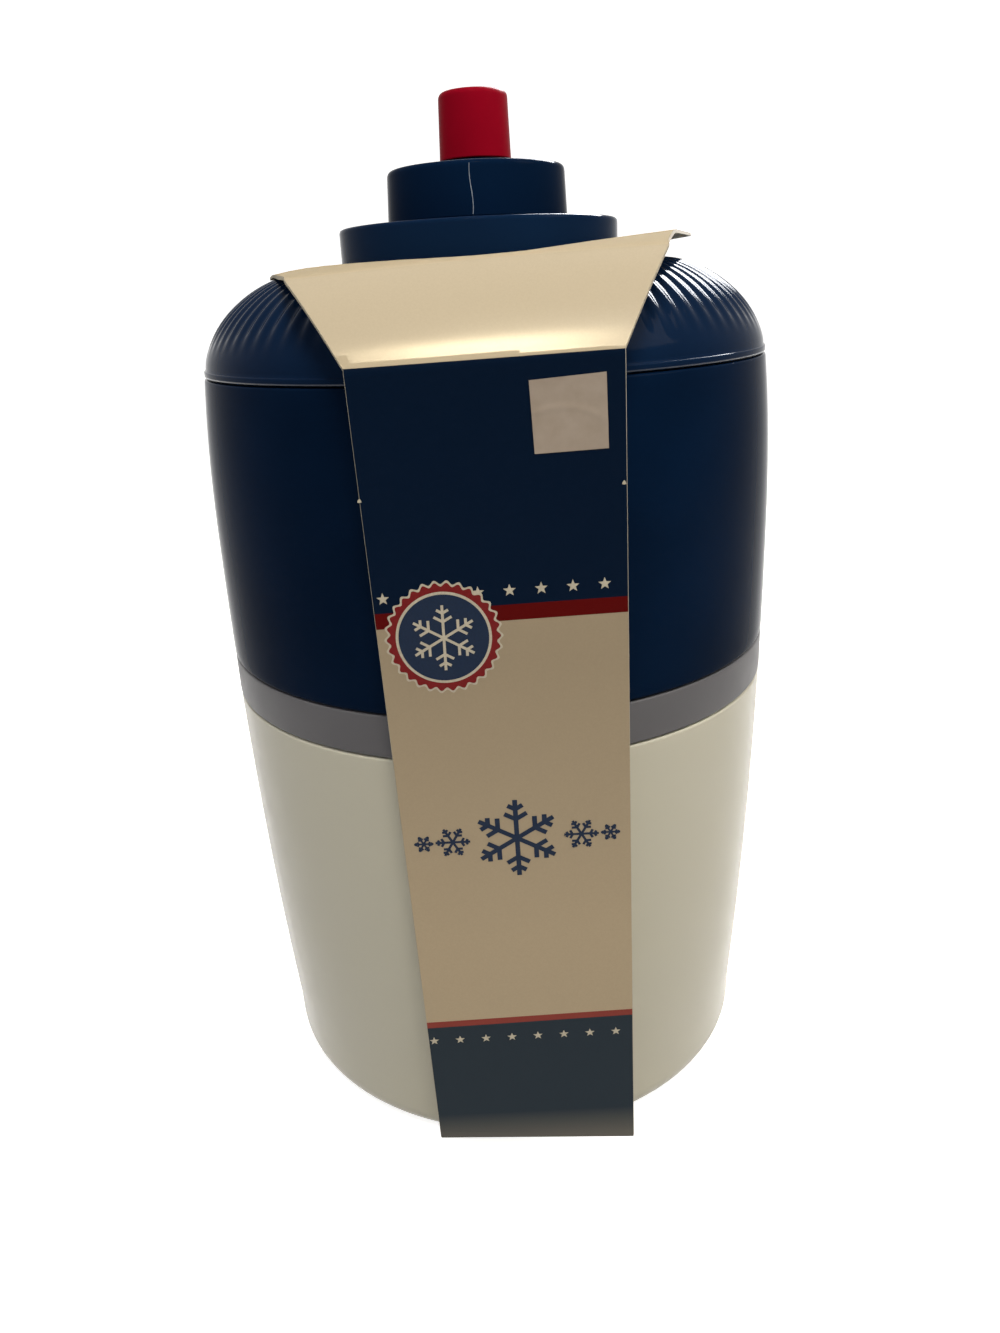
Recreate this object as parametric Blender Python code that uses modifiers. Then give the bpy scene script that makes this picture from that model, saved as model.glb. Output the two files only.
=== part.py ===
# Hand cranked ice shaver: catch cup, blade carrier, housing, fluted lid, crank and sprung pusher.
# Blender 4.5, metres, +Z up. The front faces -Y and the crank points to +Y at rest.

import math

import bmesh
import bpy
from mathutils import Matrix, Vector

mm = 0.001
smooth_angle = math.radians(30.0)

# Clearances
seat_gap = 0.3 * mm          # between pieces that rest on each other
slip_gap = 0.45 * mm         # between pieces that push together by hand
running_gap = 0.1 * mm       # between a shaft and its bore
lift_gap = 0.8 * mm          # round the pusher in the chamber

# Barrel shaped body
widest_radius = 63.2 * mm
widest_height = 127.0 * mm
foot_taper = 4.7 * mm        # from the widest radius in to the foot
top_taper = 1.8 * mm         # and in to the housing's top edge
lower_curve = 1.9            # exponent of the barrel below its widest place
upper_curve = 2.5            # and above it
shell_wall = 2.3 * mm
shell_steps = 36
corner_steps = 2             # straight parts in a small rounded corner

# Catch cup
cup_height = 98.4 * mm
cup_floor = 2.6 * mm
base_lift = 0.8 * mm         # the pad holds the cup this far off the table
base_round = 8.5 * mm
pad_inset = 11.0 * mm        # from the foot's radius
pad_thickness = 2.0 * mm

# Blade carrier, whose rim is the grey band
band_height = 9.0 * mm
carrier_floor = 2.6 * mm
carrier_floor_drop = 2.4 * mm     # floor's upper face below the band's upper edge
spigot_wall = 2.2 * mm
spigot_depth = 8.0 * mm
skirt_height = 5.6 * mm

# Blade and its fastening, in a frame tilted about the blade's long side
blade_tilt = math.radians(20.0)
blade_bite = 0.7 * mm        # edge above the carrier floor
blade_start = 8.0 * mm       # from the axis
blade_end_clear = 4.0 * mm   # from the blade's far end to the chamber's wall
blade_width = 17.0 * mm
blade_thickness = 0.9 * mm
blade_grind = 2.4 * mm
chip_slot = 4.5 * mm         # open in front of the edge
clamp_thickness = 1.6 * mm
clamp_width = 10.0 * mm
blade_screw_radius = 1.5 * mm
blade_screw_inset = 7.0 * mm      # from each end of the blade

# Ice chamber
chamber_post_gap = 2.15 * mm      # between the chamber and the housing's posts
chamber_wall = 1.8 * mm

# Housing
housing_top = 168.6 * mm
deck_thickness = 2.4 * mm    # the inner deck that holds the chamber upright
deck_gap = 1.9 * mm          # below the lid's spigot
post_count = 3
post_first = math.radians(30.0)
post_wall_gap = 3.4 * mm     # crossed by the web that carries the post
post_radius = 3.7 * mm
post_height = 19.0 * mm
post_screw_radius = 1.7 * mm
post_screw_bite = 11.0 * mm

# Lid
lid_rim_inset = 0.5 * mm     # inside the housing's top edge
lid_shoulder_width = 20.6 * mm    # of the rounded part, rim to flat top
lid_height = 19.2 * mm       # rim to flat top
lid_rim_depth = 1.6 * mm
lid_roundness = 1.62         # exponent of the shoulder's superellipse
lid_curve_steps = 5
lid_wall = 2.2 * mm
lid_spigot_depth = 7.0 * mm
lid_spigot_wall = 2.4 * mm
flute_count = 88
flute_depth = 0.6 * mm
flute_run_in = 6.3 * mm      # on the flat top, where the flutes start
flute_fade_depth = 4.4 * mm  # over which they reach their depth
flute_rim_fade = 1.6         # they fade over the lower 1 / 1.6 of the shoulder
seal_height = 2.4 * mm
seal_lip = 1.0 * mm          # height of its outer side
seal_depth = 1.1 * mm
seal_proud = 0.2 * mm

# Bearing turret on the lid
turret_radius = 29.9 * mm
turret_height = 8.3 * mm
turret_wall = 2.4 * mm
turret_edge = 0.9 * mm
turret_rib_count = 6
turret_rib_width = 1.6 * mm
turret_screw_count = 3
turret_screw_radius = 1.5 * mm
turret_boss_radius = 3.4 * mm
turret_tube_radius = 10.6 * mm
turret_tube_drop = 9.5 * mm       # below the lid's flat top
bush_wall = 2.4 * mm
bush_flange = 2.0 * mm
washer_radius = 12.0 * mm
washer_thickness = 1.0 * mm
washer_proud = 0.25 * mm

# Crank
crank_reach = 83.0 * mm
hub_radius = 19.3 * mm
hub_height = 10.4 * mm
hub_draft = 0.5 * mm
arm_thickness = 8.0 * mm
arm_root_width = 25.0 * mm
arm_end_radius = 11.8 * mm
arm_wall = 2.2 * mm
arm_rib_pitch = 12.0 * mm
arm_edge = 1.0 * mm
arm_arc_steps = 6
knob_boss_radius = 10.9 * mm
knob_boss_height = 10.2 * mm      # above the arm
knob_boss_fillet = 3.0 * mm
knob_boss_flare = 35         # degrees of the fillet's arc
crank_screw_radius = 2.0 * mm
crank_screw_length = 8.0 * mm
crank_screw_head = 4.6 * mm
crank_screw_head_height = 2.4 * mm
screw_slot_width = 1.3 * mm
screw_slot_depth = 1.0 * mm

# Knob
knob_base_radius = 10.2 * mm
knob_top_radius = 9.7 * mm
knob_height = 17.4 * mm
knob_crown = 2.6 * mm
knob_cap_radius = 5.6 * mm
knob_cap_thickness = 2.2 * mm
knob_cap_dome = 0.5 * mm
pin_radius = 3.0 * mm
pin_bite = 9.0 * mm          # length held in the arm
pin_head_radius = 4.6 * mm
pin_head_height = 1.8 * mm

# Shaft, pusher and spring
shaft_radius = 5.0 * mm
drive_side = 7.0 * mm        # square ends of the shaft
drive_length = 5.6 * mm      # inside the crank hub
collar_radius = 7.4 * mm
collar_thickness = 2.4 * mm
shaft_end_clear = 3.4 * mm   # above the carrier floor
clip_lift = 1.4 * mm         # above the shaft's lower end
clip_thickness = 0.8 * mm
clip_radius = 6.6 * mm
clip_groove = 0.9 * mm
pusher_thickness = 2.4 * mm
pusher_hub_radius = 8.4 * mm
pusher_hub_height = 9.5 * mm
pusher_rim_height = 4.0 * mm
pusher_rim_wall = 1.6 * mm
pusher_rib_count = 6
pusher_rib_width = 1.6 * mm
spike_inner_circle = 18.0 * mm
spike_inner_count = 5
spike_outer_inset = 13.0 * mm     # from the chamber's wall
spike_outer_count = 9
spike_radius = 1.7 * mm
spike_tip = 0.4 * mm
spike_length = 3.2 * mm
spike_plate_inset = 6.0 * mm
spike_plate_thickness = 0.8 * mm
spring_radius = 11.2 * mm
spring_wire = 1.4 * mm
spring_turns = 7
spring_turn_points = 8
spring_cup_radius = 13.4 * mm
spring_cup_thickness = 1.4 * mm
spring_cup_lip = 0.6 * mm

# Printed card sleeve hung over the lid
card_thickness = 0.6 * mm
card_clear = 0.8 * mm
card_bottom = 7.0 * mm
card_bottom_half = 21.5 * mm
card_crease_half = 23.4 * mm
card_shoulder_half = 33.7 * mm
card_top_half = 45.6 * mm
card_askew = 3.5 * mm        # how far its lower end hangs to the right
card_flap_drop = 16.2 * mm   # from the second crease down to the first
card_lean = 13.4 * mm        # and how far the first lies outside it
card_hole_gap = 1.2 * mm

# Shares of a part's own size
pan_side = 0.55              # height of a pan head's straight side
pan_flat = 0.75              # radius of its flat top
screw_tip = 0.6              # radius of a screw's tip
spike_join = 0.5             # depth that a spike reaches into its plate
dome_ring = 0.6              # radius of the ring inside the knob cap's dome
dome_rise = 0.7              # and its height

# Heights and radii that follow from the sizes above
base_radius = widest_radius - foot_taper
top_radius = widest_radius - top_taper
pad_radius = base_radius - pad_inset
lid_rim_radius = top_radius - lid_rim_inset
lid_flat_radius = lid_rim_radius - lid_shoulder_width
flute_inner_radius = lid_flat_radius - flute_run_in
turret_screw_circle = (turret_radius - turret_wall + turret_tube_radius) / 2
carrier_bottom = cup_height + seat_gap
band_top = carrier_bottom + band_height
floor_top = band_top - carrier_floor_drop
floor_bottom = floor_top - carrier_floor
housing_bottom = band_top + seat_gap
lid_rim = housing_top + seat_gap
lid_top = lid_rim + lid_height
chamber_top = lid_rim - lid_spigot_depth - deck_gap
card_top = lid_top + card_clear
card_first_crease = card_top - card_flap_drop
turret_bottom = lid_top + seat_gap
turret_top = turret_bottom + turret_height
washer_bottom = turret_top + washer_proud - washer_thickness
hub_bottom = turret_top + washer_proud + seat_gap
hub_top = hub_bottom + hub_height
arm_bottom = hub_top - arm_thickness
knob_boss_top = hub_top + knob_boss_height
knob_bottom = knob_boss_top + seat_gap
knob_top = knob_bottom + knob_height
pin_head_bottom = knob_top - knob_cap_thickness - knob_cap_dome - seat_gap - pin_head_height
tube_bottom = lid_top - turret_tube_drop
bush_bottom = tube_bottom - seat_gap - bush_flange
collar_top = bush_bottom - seat_gap
collar_bottom = collar_top - collar_thickness
spring_cup_bottom = collar_bottom - seat_gap - spring_cup_thickness
shaft_bottom = floor_top + shaft_end_clear
clip_bottom = shaft_bottom + clip_lift
pusher_bottom = clip_bottom + clip_thickness + seat_gap
pusher_top = pusher_bottom + pusher_thickness
bush_bore = shaft_radius + running_gap
bush_radius = bush_bore + bush_wall
pad_pocket = pad_radius + slip_gap


def body_radius(height):
    if height < widest_height:
        share = (widest_height - height) / widest_height
        return widest_radius - (widest_radius - base_radius) * share ** lower_curve
    share = (height - widest_height) / (housing_top - widest_height)
    return widest_radius - (widest_radius - top_radius) * share ** upper_curve


post_circle = body_radius(housing_bottom) - shell_wall - post_wall_gap - post_radius
chamber_radius = post_circle - post_radius - chamber_post_gap - chamber_wall
blade_length = chamber_radius - blade_end_clear - blade_start


def clear_scene():
    for item in list(bpy.data.objects):
        bpy.data.objects.remove(item, do_unlink=True)
    for group in list(bpy.data.collections):
        bpy.data.collections.remove(group)


def make_collection(name):
    group = bpy.data.collections.new(name)
    bpy.context.scene.collection.children.link(group)
    return group


def make_material(name, colour, roughness, metallic=0.0):
    material = bpy.data.materials.new(name)
    material.use_nodes = True
    shader = material.node_tree.nodes["Principled BSDF"]
    shader.inputs["Base Color"].default_value = (*colour, 1.0)
    shader.inputs["Roughness"].default_value = roughness
    shader.inputs["Metallic"].default_value = metallic
    return material


clear_scene()
parts = make_collection("ice_shaver")
cutters = make_collection("cutters")

navy = (0.006, 0.022, 0.075)
finishes = {
    "navy_plastic": (navy, 0.22, 0.0),
    "white_plastic": ((0.74, 0.72, 0.66), 0.3, 0.0),
    "clear_plastic": ((0.70, 0.74, 0.76), 0.2, 0.0),
    "grey_plastic": ((0.10, 0.11, 0.15), 0.4, 0.0),
    "red_plastic": ((0.42, 0.005, 0.014), 0.3, 0.0),
    "nylon": ((0.62, 0.60, 0.54), 0.45, 0.0),
    "silicone": ((0.30, 0.30, 0.31), 0.7, 0.0),
    "steel": ((0.55, 0.55, 0.56), 0.3, 1.0),
    "card": ((0.66, 0.58, 0.42), 0.6, 0.0),
}


def place(item, group, finish=None):
    group.objects.link(item)
    if finish:
        item.data.materials.append(make_material(item.name, *finishes[finish]))
    else:
        item.hide_render = True
        item.display_type = "WIRE"
    return item


def from_bmesh(name, bm, finish=None):
    mesh = bpy.data.meshes.new(name)
    bm.to_mesh(mesh)
    bm.free()
    return place(bpy.data.objects.new(name, mesh), parts if finish else cutters, finish)


# A profile is (radius, height) pairs that run down the outer side.
# An open profile starts and ends on the axis, and a closed one is a ring.
def turned(name, profile, finish=None, steps=shell_steps, ring=False):
    bm = bmesh.new()
    points = [bm.verts.new((radius, 0.0, height)) for radius, height in profile]
    for start, end in zip(points, points[1:]):
        bm.edges.new((start, end))
    if ring:
        bm.edges.new((points[-1], points[0]))
    item = from_bmesh(name, bm, finish)
    screw = item.modifiers.new("turn", "SCREW")
    screw.axis = "Z"
    screw.steps = steps
    screw.render_steps = steps
    screw.use_merge_vertices = True
    screw.merge_threshold = 0.01 * mm
    screw.use_smooth_shade = False
    return item


def rod(name, radius, bottom, top, finish=None, sides=16, tip=None, location=(0.0, 0.0)):
    bm = bmesh.new()
    turn = Matrix.Translation((*location, (bottom + top) / 2))
    lower = radius if tip is None else tip
    bmesh.ops.create_cone(bm, cap_ends=True, segments=sides, radius1=lower, radius2=radius,
                          depth=top - bottom, matrix=turn)
    return from_bmesh(name, bm, finish)


def block(name, low, high, finish=None):
    bm = bmesh.new()
    bmesh.ops.create_cube(bm, size=1.0)
    size = Vector(high) - Vector(low)
    middle = (Vector(high) + Vector(low)) / 2
    bmesh.ops.transform(bm, matrix=Matrix.Translation(middle) @ Matrix.Diagonal((*size, 1.0)),
                        verts=bm.verts)
    return from_bmesh(name, bm, finish)


def boolean(item, other, operation):
    modifier = item.modifiers.new(operation.lower(), "BOOLEAN")
    modifier.operation = operation
    modifier.solver = "EXACT"
    modifier.object = other
    return item


def cut(item, *others):
    for other in others:
        boolean(item, other, "DIFFERENCE")
    return item


def fuse(item, *others):
    for other in others:
        boolean(item, other, "UNION")
    return item


def round_edges(item, width, segments=2, angle=40.0):
    bevel = item.modifiers.new("round", "BEVEL")
    bevel.width = width
    bevel.segments = segments
    bevel.limit_method = "ANGLE"
    bevel.angle_limit = math.radians(angle)
    return item


# The evaluated mesh of an object that is then no longer needed
def baked(source):
    depsgraph = bpy.context.evaluated_depsgraph_get()
    mesh = bpy.data.meshes.new_from_object(source.evaluated_get(depsgraph))
    bpy.data.objects.remove(source, do_unlink=True)
    return mesh


# Copies of one solid that are cut from, or fused to, a single piece
def copies(name, source, transforms):
    bm = bmesh.new()
    mesh = baked(source)
    for transform in transforms:
        start = len(bm.verts)
        bm.from_mesh(mesh)
        bm.verts.ensure_lookup_table()
        bmesh.ops.transform(bm, matrix=transform, verts=bm.verts[start:])
    bpy.data.meshes.remove(mesh)
    return from_bmesh(name, bm)


# Copies of one loose piece, each an object of its own on the same mesh
def repeated(name, source, transforms, finish):
    mesh = baked(source)
    mesh.shade_smooth()
    mesh.set_sharp_from_angle(angle=smooth_angle)
    mesh.materials.append(make_material(name, *finishes[finish]))
    names = []
    for index, transform in enumerate(transforms):
        item = bpy.data.objects.new(f"{name}_{index + 1}", mesh)
        parts.objects.link(item)
        item.matrix_world = transform
        names.append(item.name)
    return names


def round_the_axis(count, radius, first=0.0):
    turns = []
    for index in range(count):
        turn = Matrix.Rotation(first + 2 * math.pi * index / count, 4, "Z")
        turns.append(turn @ Matrix.Translation((radius, 0.0, 0.0)))
    return turns


def quarter(centre_radius, centre_height, radius, start, end, points):
    angles = [math.radians(start + (end - start) * i / points) for i in range(points + 1)]
    return [(centre_radius + radius * math.cos(angle), centre_height + radius * math.sin(angle))
            for angle in angles]


def barrel(top, bottom, points, inset=0.0):
    heights = [top + (bottom - top) * i / points for i in range(points + 1)]
    return [(body_radius(height) - inset, height) for height in heights]


# A pan head screw pointing up, its head's seat at height zero
def screw(name, shank_radius, length, head_radius, head_height, sides=10):
    profile = [(0.0, length), (shank_radius * screw_tip, length), (shank_radius, length - shank_radius),
               (shank_radius, 0.0), (head_radius, 0.0), (head_radius, -head_height * pan_side),
               (head_radius * pan_flat, -head_height), (0.0, -head_height)]
    return turned(name, profile, steps=sides)


def build_cup():
    floor_height = pad_thickness + seat_gap + cup_floor
    inner_corner = base_lift + base_round
    outer = barrel(cup_height, inner_corner, 4)
    centre = outer[-1][0] - base_round
    inner = barrel(cup_height, floor_height + base_round, 2, shell_wall)[::-1]
    inner_centre = inner[0][0] - base_round
    profile = [(0.0, floor_height)]
    profile += quarter(inner_centre, floor_height + base_round, base_round, -90, 0, corner_steps)[:-1]
    profile += inner + outer[:-1] + quarter(centre, inner_corner, base_round, 0, -90, 2 * corner_steps)
    profile += [(pad_pocket, base_lift), (pad_pocket, pad_thickness + seat_gap),
                (0.0, pad_thickness + seat_gap)]
    turned("catch_cup", profile, "white_plastic")
    rod("base_pad", pad_radius, 0.0, pad_thickness, "silicone", sides=shell_steps)


# Frame of the blade: X along its edge, Y down its slope from the edge, Z off its upper face.
# It lies left of the axis, so that turning the crank clockwise drives the ice onto the edge.
def blade_frame():
    edge = Vector((-blade_start - blade_length / 2, 0.0, floor_top + blade_bite))
    return Matrix.Translation(edge) @ Matrix.Rotation(-blade_tilt, 4, "X")


def blade_screw_places():
    reach = blade_length / 2 - blade_screw_inset
    across = blade_width - clamp_width / 2 - seat_gap
    return [Matrix.Translation((side * reach, across, 0.0)) for side in (-1, 1)]


# How far the carrier reaches over the blade's screws, less a margin, so that the screws stay inside it
def blade_bed_depth():
    return (blade_width - clamp_width / 2) * math.sin(blade_tilt)


def build_carrier():
    cup_bore = body_radius(cup_height) - shell_wall
    spigot = cup_bore - slip_gap
    housing_bore = body_radius(housing_bottom) - shell_wall
    skirt = housing_bore - slip_gap
    band = body_radius((carrier_bottom + band_top) / 2)
    bore = min(spigot, skirt) - spigot_wall
    profile = [(0.0, floor_top), (bore, floor_top), (bore, band_top + skirt_height),
               (skirt, band_top + skirt_height), (skirt, band_top), (band, band_top),
               (band, carrier_bottom), (spigot, carrier_bottom),
               (spigot, carrier_bottom - spigot_depth), (bore, carrier_bottom - spigot_depth),
               (bore, floor_bottom), (0.0, floor_bottom)]
    carrier = turned("blade_carrier", profile, "grey_plastic")

    frame = blade_frame()
    bed_end = blade_width * math.cos(blade_tilt) + 2 * seat_gap
    bed_drop = floor_top + blade_bite - (blade_width + blade_thickness) * math.sin(blade_tilt)
    bed = block("blade_bed", (-blade_start - blade_length - 2 * spigot_wall, blade_width / 2, bed_drop),
                (-blade_start + 2 * spigot_wall, bed_end, floor_top - carrier_floor / 2))
    half = blade_length / 2 + seat_gap
    below = blade_width + clamp_thickness
    relief = block("blade_relief", (-half, -chip_slot, -below), (half, 2 * blade_width, seat_gap))
    relief.matrix_world = frame
    fuse(carrier, bed)
    cut(carrier, relief)
    pilot = rod("blade_pilot", blade_screw_radius + running_gap, -below, 2 * carrier_floor, sides=12)
    pilots = copies("blade_pilots", pilot, blade_screw_places())
    pilots.matrix_world = frame
    screw_hole = rod("post_screw_hole", post_screw_radius + slip_gap, floor_bottom - spigot_wall,
                     floor_top + spigot_wall, sides=12)
    screw_holes = copies("post_screw_holes", screw_hole,
                         round_the_axis(post_count, post_circle, post_first))
    cut(carrier, pilots, screw_holes)


def build_blade():
    frame = blade_frame()
    half = blade_length / 2
    bm = bmesh.new()
    bmesh.ops.create_cube(bm, size=1.0)
    size = Matrix.Diagonal((blade_length, blade_width, blade_thickness, 1.0))
    middle = Matrix.Translation((0, blade_width / 2, -blade_thickness / 2))
    bmesh.ops.transform(bm, matrix=middle @ size, verts=bm.verts)
    # the ground edge: the lower long side moves back under the upper one
    for vert in bm.verts:
        if vert.co.y < blade_width / 2 and vert.co.z < -blade_thickness / 2:
            vert.co.y += blade_grind
    blade = from_bmesh("shaving_blade", bm, "steel")
    clamp_top = -blade_thickness - seat_gap
    clamp_start = blade_width - clamp_width - seat_gap
    clamp = block("blade_clamp", (-half, clamp_start, clamp_top - clamp_thickness),
                  (half, clamp_start + clamp_width, clamp_top), "steel")
    hole = rod("blade_hole", blade_screw_radius + slip_gap, -2 * clamp_width, clamp_width, sides=12)
    holes = copies("blade_holes", hole, blade_screw_places())
    for item in (blade, clamp, holes):
        item.matrix_world = frame
    cut(blade, holes)
    cut(clamp, holes)
    seat = clamp_top - clamp_thickness - seat_gap
    grip = blade_bed_depth() - seat
    source = screw("blade_screw", blade_screw_radius, grip, 2 * blade_screw_radius, blade_screw_radius)
    seats = [frame @ spot @ Matrix.Translation((0, 0, seat)) for spot in blade_screw_places()]
    return repeated("blade_screw", source, seats, "steel")


def build_chamber():
    bottom = floor_top + seat_gap
    outer = chamber_radius + chamber_wall
    turned("ice_chamber", [(outer, chamber_top), (outer, bottom), (chamber_radius, bottom),
                           (chamber_radius, chamber_top)], "clear_plastic", ring=True)


def build_housing():
    deck_bottom = chamber_top - deck_thickness
    deck_bore = chamber_radius + chamber_wall + slip_gap
    outer = barrel(housing_top, housing_bottom, 4)
    inner = barrel(deck_bottom, housing_bottom, 2, shell_wall)[::-1]
    profile = outer + inner + [(deck_bore, deck_bottom), (deck_bore, chamber_top),
                               (body_radius(chamber_top) - shell_wall, chamber_top),
                               (body_radius(housing_top) - shell_wall, housing_top)]
    housing = turned("upper_housing", profile, "navy_plastic", ring=True)

    post_bottom = floor_top + seat_gap
    web_bottom = band_top + skirt_height + seat_gap
    post = rod("post", post_radius, post_bottom, post_bottom + post_height, sides=16)
    wall = body_radius(web_bottom) - shell_wall / 2
    web = block("web", (0.0, -spigot_wall / 2, web_bottom),
                (wall - post_circle, spigot_wall / 2, post_bottom + post_height))
    pilot = rod("post_pilot", post_screw_radius + running_gap, post_bottom - shell_wall,
                post_bottom + post_screw_bite + seat_gap, sides=12)
    spots = round_the_axis(post_count, post_circle, post_first)
    fuse(housing, copies("webs", web, spots), copies("posts", post, spots))
    cut(housing, copies("post_pilots", pilot, spots))

    seat = floor_bottom - seat_gap
    source = screw("carrier_screw", post_screw_radius, post_bottom + post_screw_bite - seat,
                   1.8 * post_screw_radius, 1.1 * post_screw_radius)
    drop = Matrix.Translation((0, 0, seat))
    return repeated("carrier_screw", source, [drop @ spot for spot in spots], "steel")


# The lid's outer curve, from the flat top out and down to the rim
def lid_curve():
    edge = [(flute_inner_radius, lid_top)]
    shoulder_height = lid_height - lid_rim_depth
    for index in range(lid_curve_steps + 1):
        angle = math.pi / 2 * (1 - index / lid_curve_steps)
        across = math.cos(angle) ** (2 / lid_roundness)
        along = math.sin(angle) ** (2 / lid_roundness)
        edge.append((lid_flat_radius + lid_shoulder_width * across,
                     lid_rim + lid_rim_depth + shoulder_height * along))
    edge.append((lid_rim_radius, lid_rim))
    return edge


def build_lid():
    skin = baked(turned("lid_skin", [(0.0, lid_top)] + lid_curve() + [(0.0, lid_rim)],
                        steps=2 * flute_count))
    # each flute is one raised and one sunk row, strongest on the shoulder and gone at the rim
    band = lid_top - lid_rim - lid_rim_depth
    for vert in skin.vertices:
        radius = math.hypot(vert.co.x, vert.co.y)
        rise = (vert.co.z - lid_rim - lid_rim_depth) / band
        if radius <= flute_inner_radius or rise <= 0.0:
            continue
        fade = min(1.0, rise * flute_rim_fade) * min(1.0, (radius - flute_inner_radius) / flute_fade_depth)
        wave = math.cos(flute_count * math.atan2(vert.co.y, vert.co.x))
        vert.co += vert.normal * flute_depth * fade * wave
    lid = place(bpy.data.objects.new("lid_dome", skin), parts, "navy_plastic")

    inset = lid_wall + flute_depth
    spigot = body_radius(housing_top) - shell_wall - slip_gap
    bore = spigot - lid_spigot_wall
    ceiling = lid_top - inset
    foot = lid_rim - lid_spigot_depth
    flat = lid_flat_radius + inset
    hollow = [(0.0, ceiling), (flat, ceiling), (flat + 2 * inset, ceiling - inset),
              (bore, lid_rim + 2 * inset), (bore, foot - lid_wall), (0.0, foot - lid_wall)]
    groove = lid_rim - lid_spigot_depth / 2 + seal_height / 2
    groove_bottom = groove - seal_height - seat_gap
    ring = [(spigot, lid_rim + lid_wall / 2), (spigot, groove + seat_gap),
            (spigot - seal_depth, groove + seat_gap), (spigot - seal_depth, groove_bottom),
            (spigot, groove_bottom), (spigot, foot), (0.0, foot)]
    fuse(lid, turned("lid_spigot", [(0.0, lid_rim + lid_wall / 2)] + ring))
    cut(lid, turned("lid_hollow", hollow))
    tube_hole = rod("tube_hole", turret_tube_radius + slip_gap, ceiling - lid_wall, lid_top + lid_wall,
                    sides=24)
    screw_hole = rod("turret_screw_hole", turret_screw_radius + slip_gap, ceiling - lid_wall,
                     lid_top + lid_wall, sides=12)
    spots = round_the_axis(turret_screw_count, turret_screw_circle)
    cut(lid, tube_hole, copies("turret_screw_holes", screw_hole, spots))

    inner = spigot - seal_depth + seat_gap / 2
    outer_seal = spigot + seal_proud
    lip = (seal_height - seal_lip) / 2
    turned("lid_seal", [(outer_seal, groove - lip), (outer_seal, groove - lip - seal_lip),
                        (inner, groove - seal_height), (inner, groove)], "silicone", ring=True)


def build_turret():
    ceiling = turret_top - turret_wall
    wall = turret_radius - turret_wall
    tube = turret_tube_radius
    bore = bush_radius + running_gap
    pocket = washer_radius + running_gap * 2
    floor = washer_bottom - seat_gap
    profile = [(pocket, turret_top)]
    profile += quarter(turret_radius - turret_edge, turret_top - turret_edge, turret_edge, 90, 0,
                       corner_steps)
    profile += [(turret_radius, turret_bottom), (wall, turret_bottom), (wall, ceiling),
                (tube, ceiling), (tube, tube_bottom), (bore, tube_bottom), (bore, floor), (pocket, floor)]
    turret = turned("bearing_turret", profile, "navy_plastic", ring=True, steps=28)
    half = (wall - tube) / 2 + turret_edge
    rib = block("turret_rib", (-half, -turret_rib_width / 2, turret_bottom + turret_edge),
                (half, turret_rib_width / 2, ceiling + turret_edge))
    boss = rod("turret_boss", turret_boss_radius, turret_bottom, ceiling + turret_edge, sides=14)
    spots = round_the_axis(turret_screw_count, turret_screw_circle)
    rib_spots = round_the_axis(turret_rib_count, (wall + tube) / 2, math.pi / turret_rib_count)
    fuse(turret, copies("turret_ribs", rib, rib_spots), copies("turret_bosses", boss, spots))
    bite = turret_height - turret_wall
    pilot = rod("turret_pilot", turret_screw_radius + running_gap, turret_bottom - turret_wall,
                turret_bottom + bite + seat_gap, sides=12)
    cut(turret, copies("turret_pilots", pilot, spots))

    seat = lid_top - lid_wall - flute_depth - seat_gap
    source = screw("turret_screw", turret_screw_radius, turret_bottom + bite - seat,
                   1.9 * turret_screw_radius, 1.1 * turret_screw_radius)
    drop = Matrix.Translation((0, 0, seat))
    screws = repeated("turret_screw", source, [drop @ spot for spot in spots], "steel")

    top = washer_bottom - 2 * seat_gap
    turned("shaft_bush", [(bush_bore, top), (bush_radius, top), (bush_radius, bush_bottom + bush_flange),
                          (turret_tube_radius, bush_bottom + bush_flange), (turret_tube_radius, bush_bottom),
                          (bush_bore, bush_bottom)], "nylon", ring=True, steps=20)
    turned("thrust_washer", [(bush_bore, washer_bottom + washer_thickness),
                             (washer_radius, washer_bottom + washer_thickness),
                             (washer_radius, washer_bottom), (bush_bore, washer_bottom)],
           "nylon", ring=True, steps=20)
    return screws


def square_bar(name, side, bottom, top):
    return block(name, (-side / 2, -side / 2, bottom), (side / 2, side / 2, top))


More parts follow.
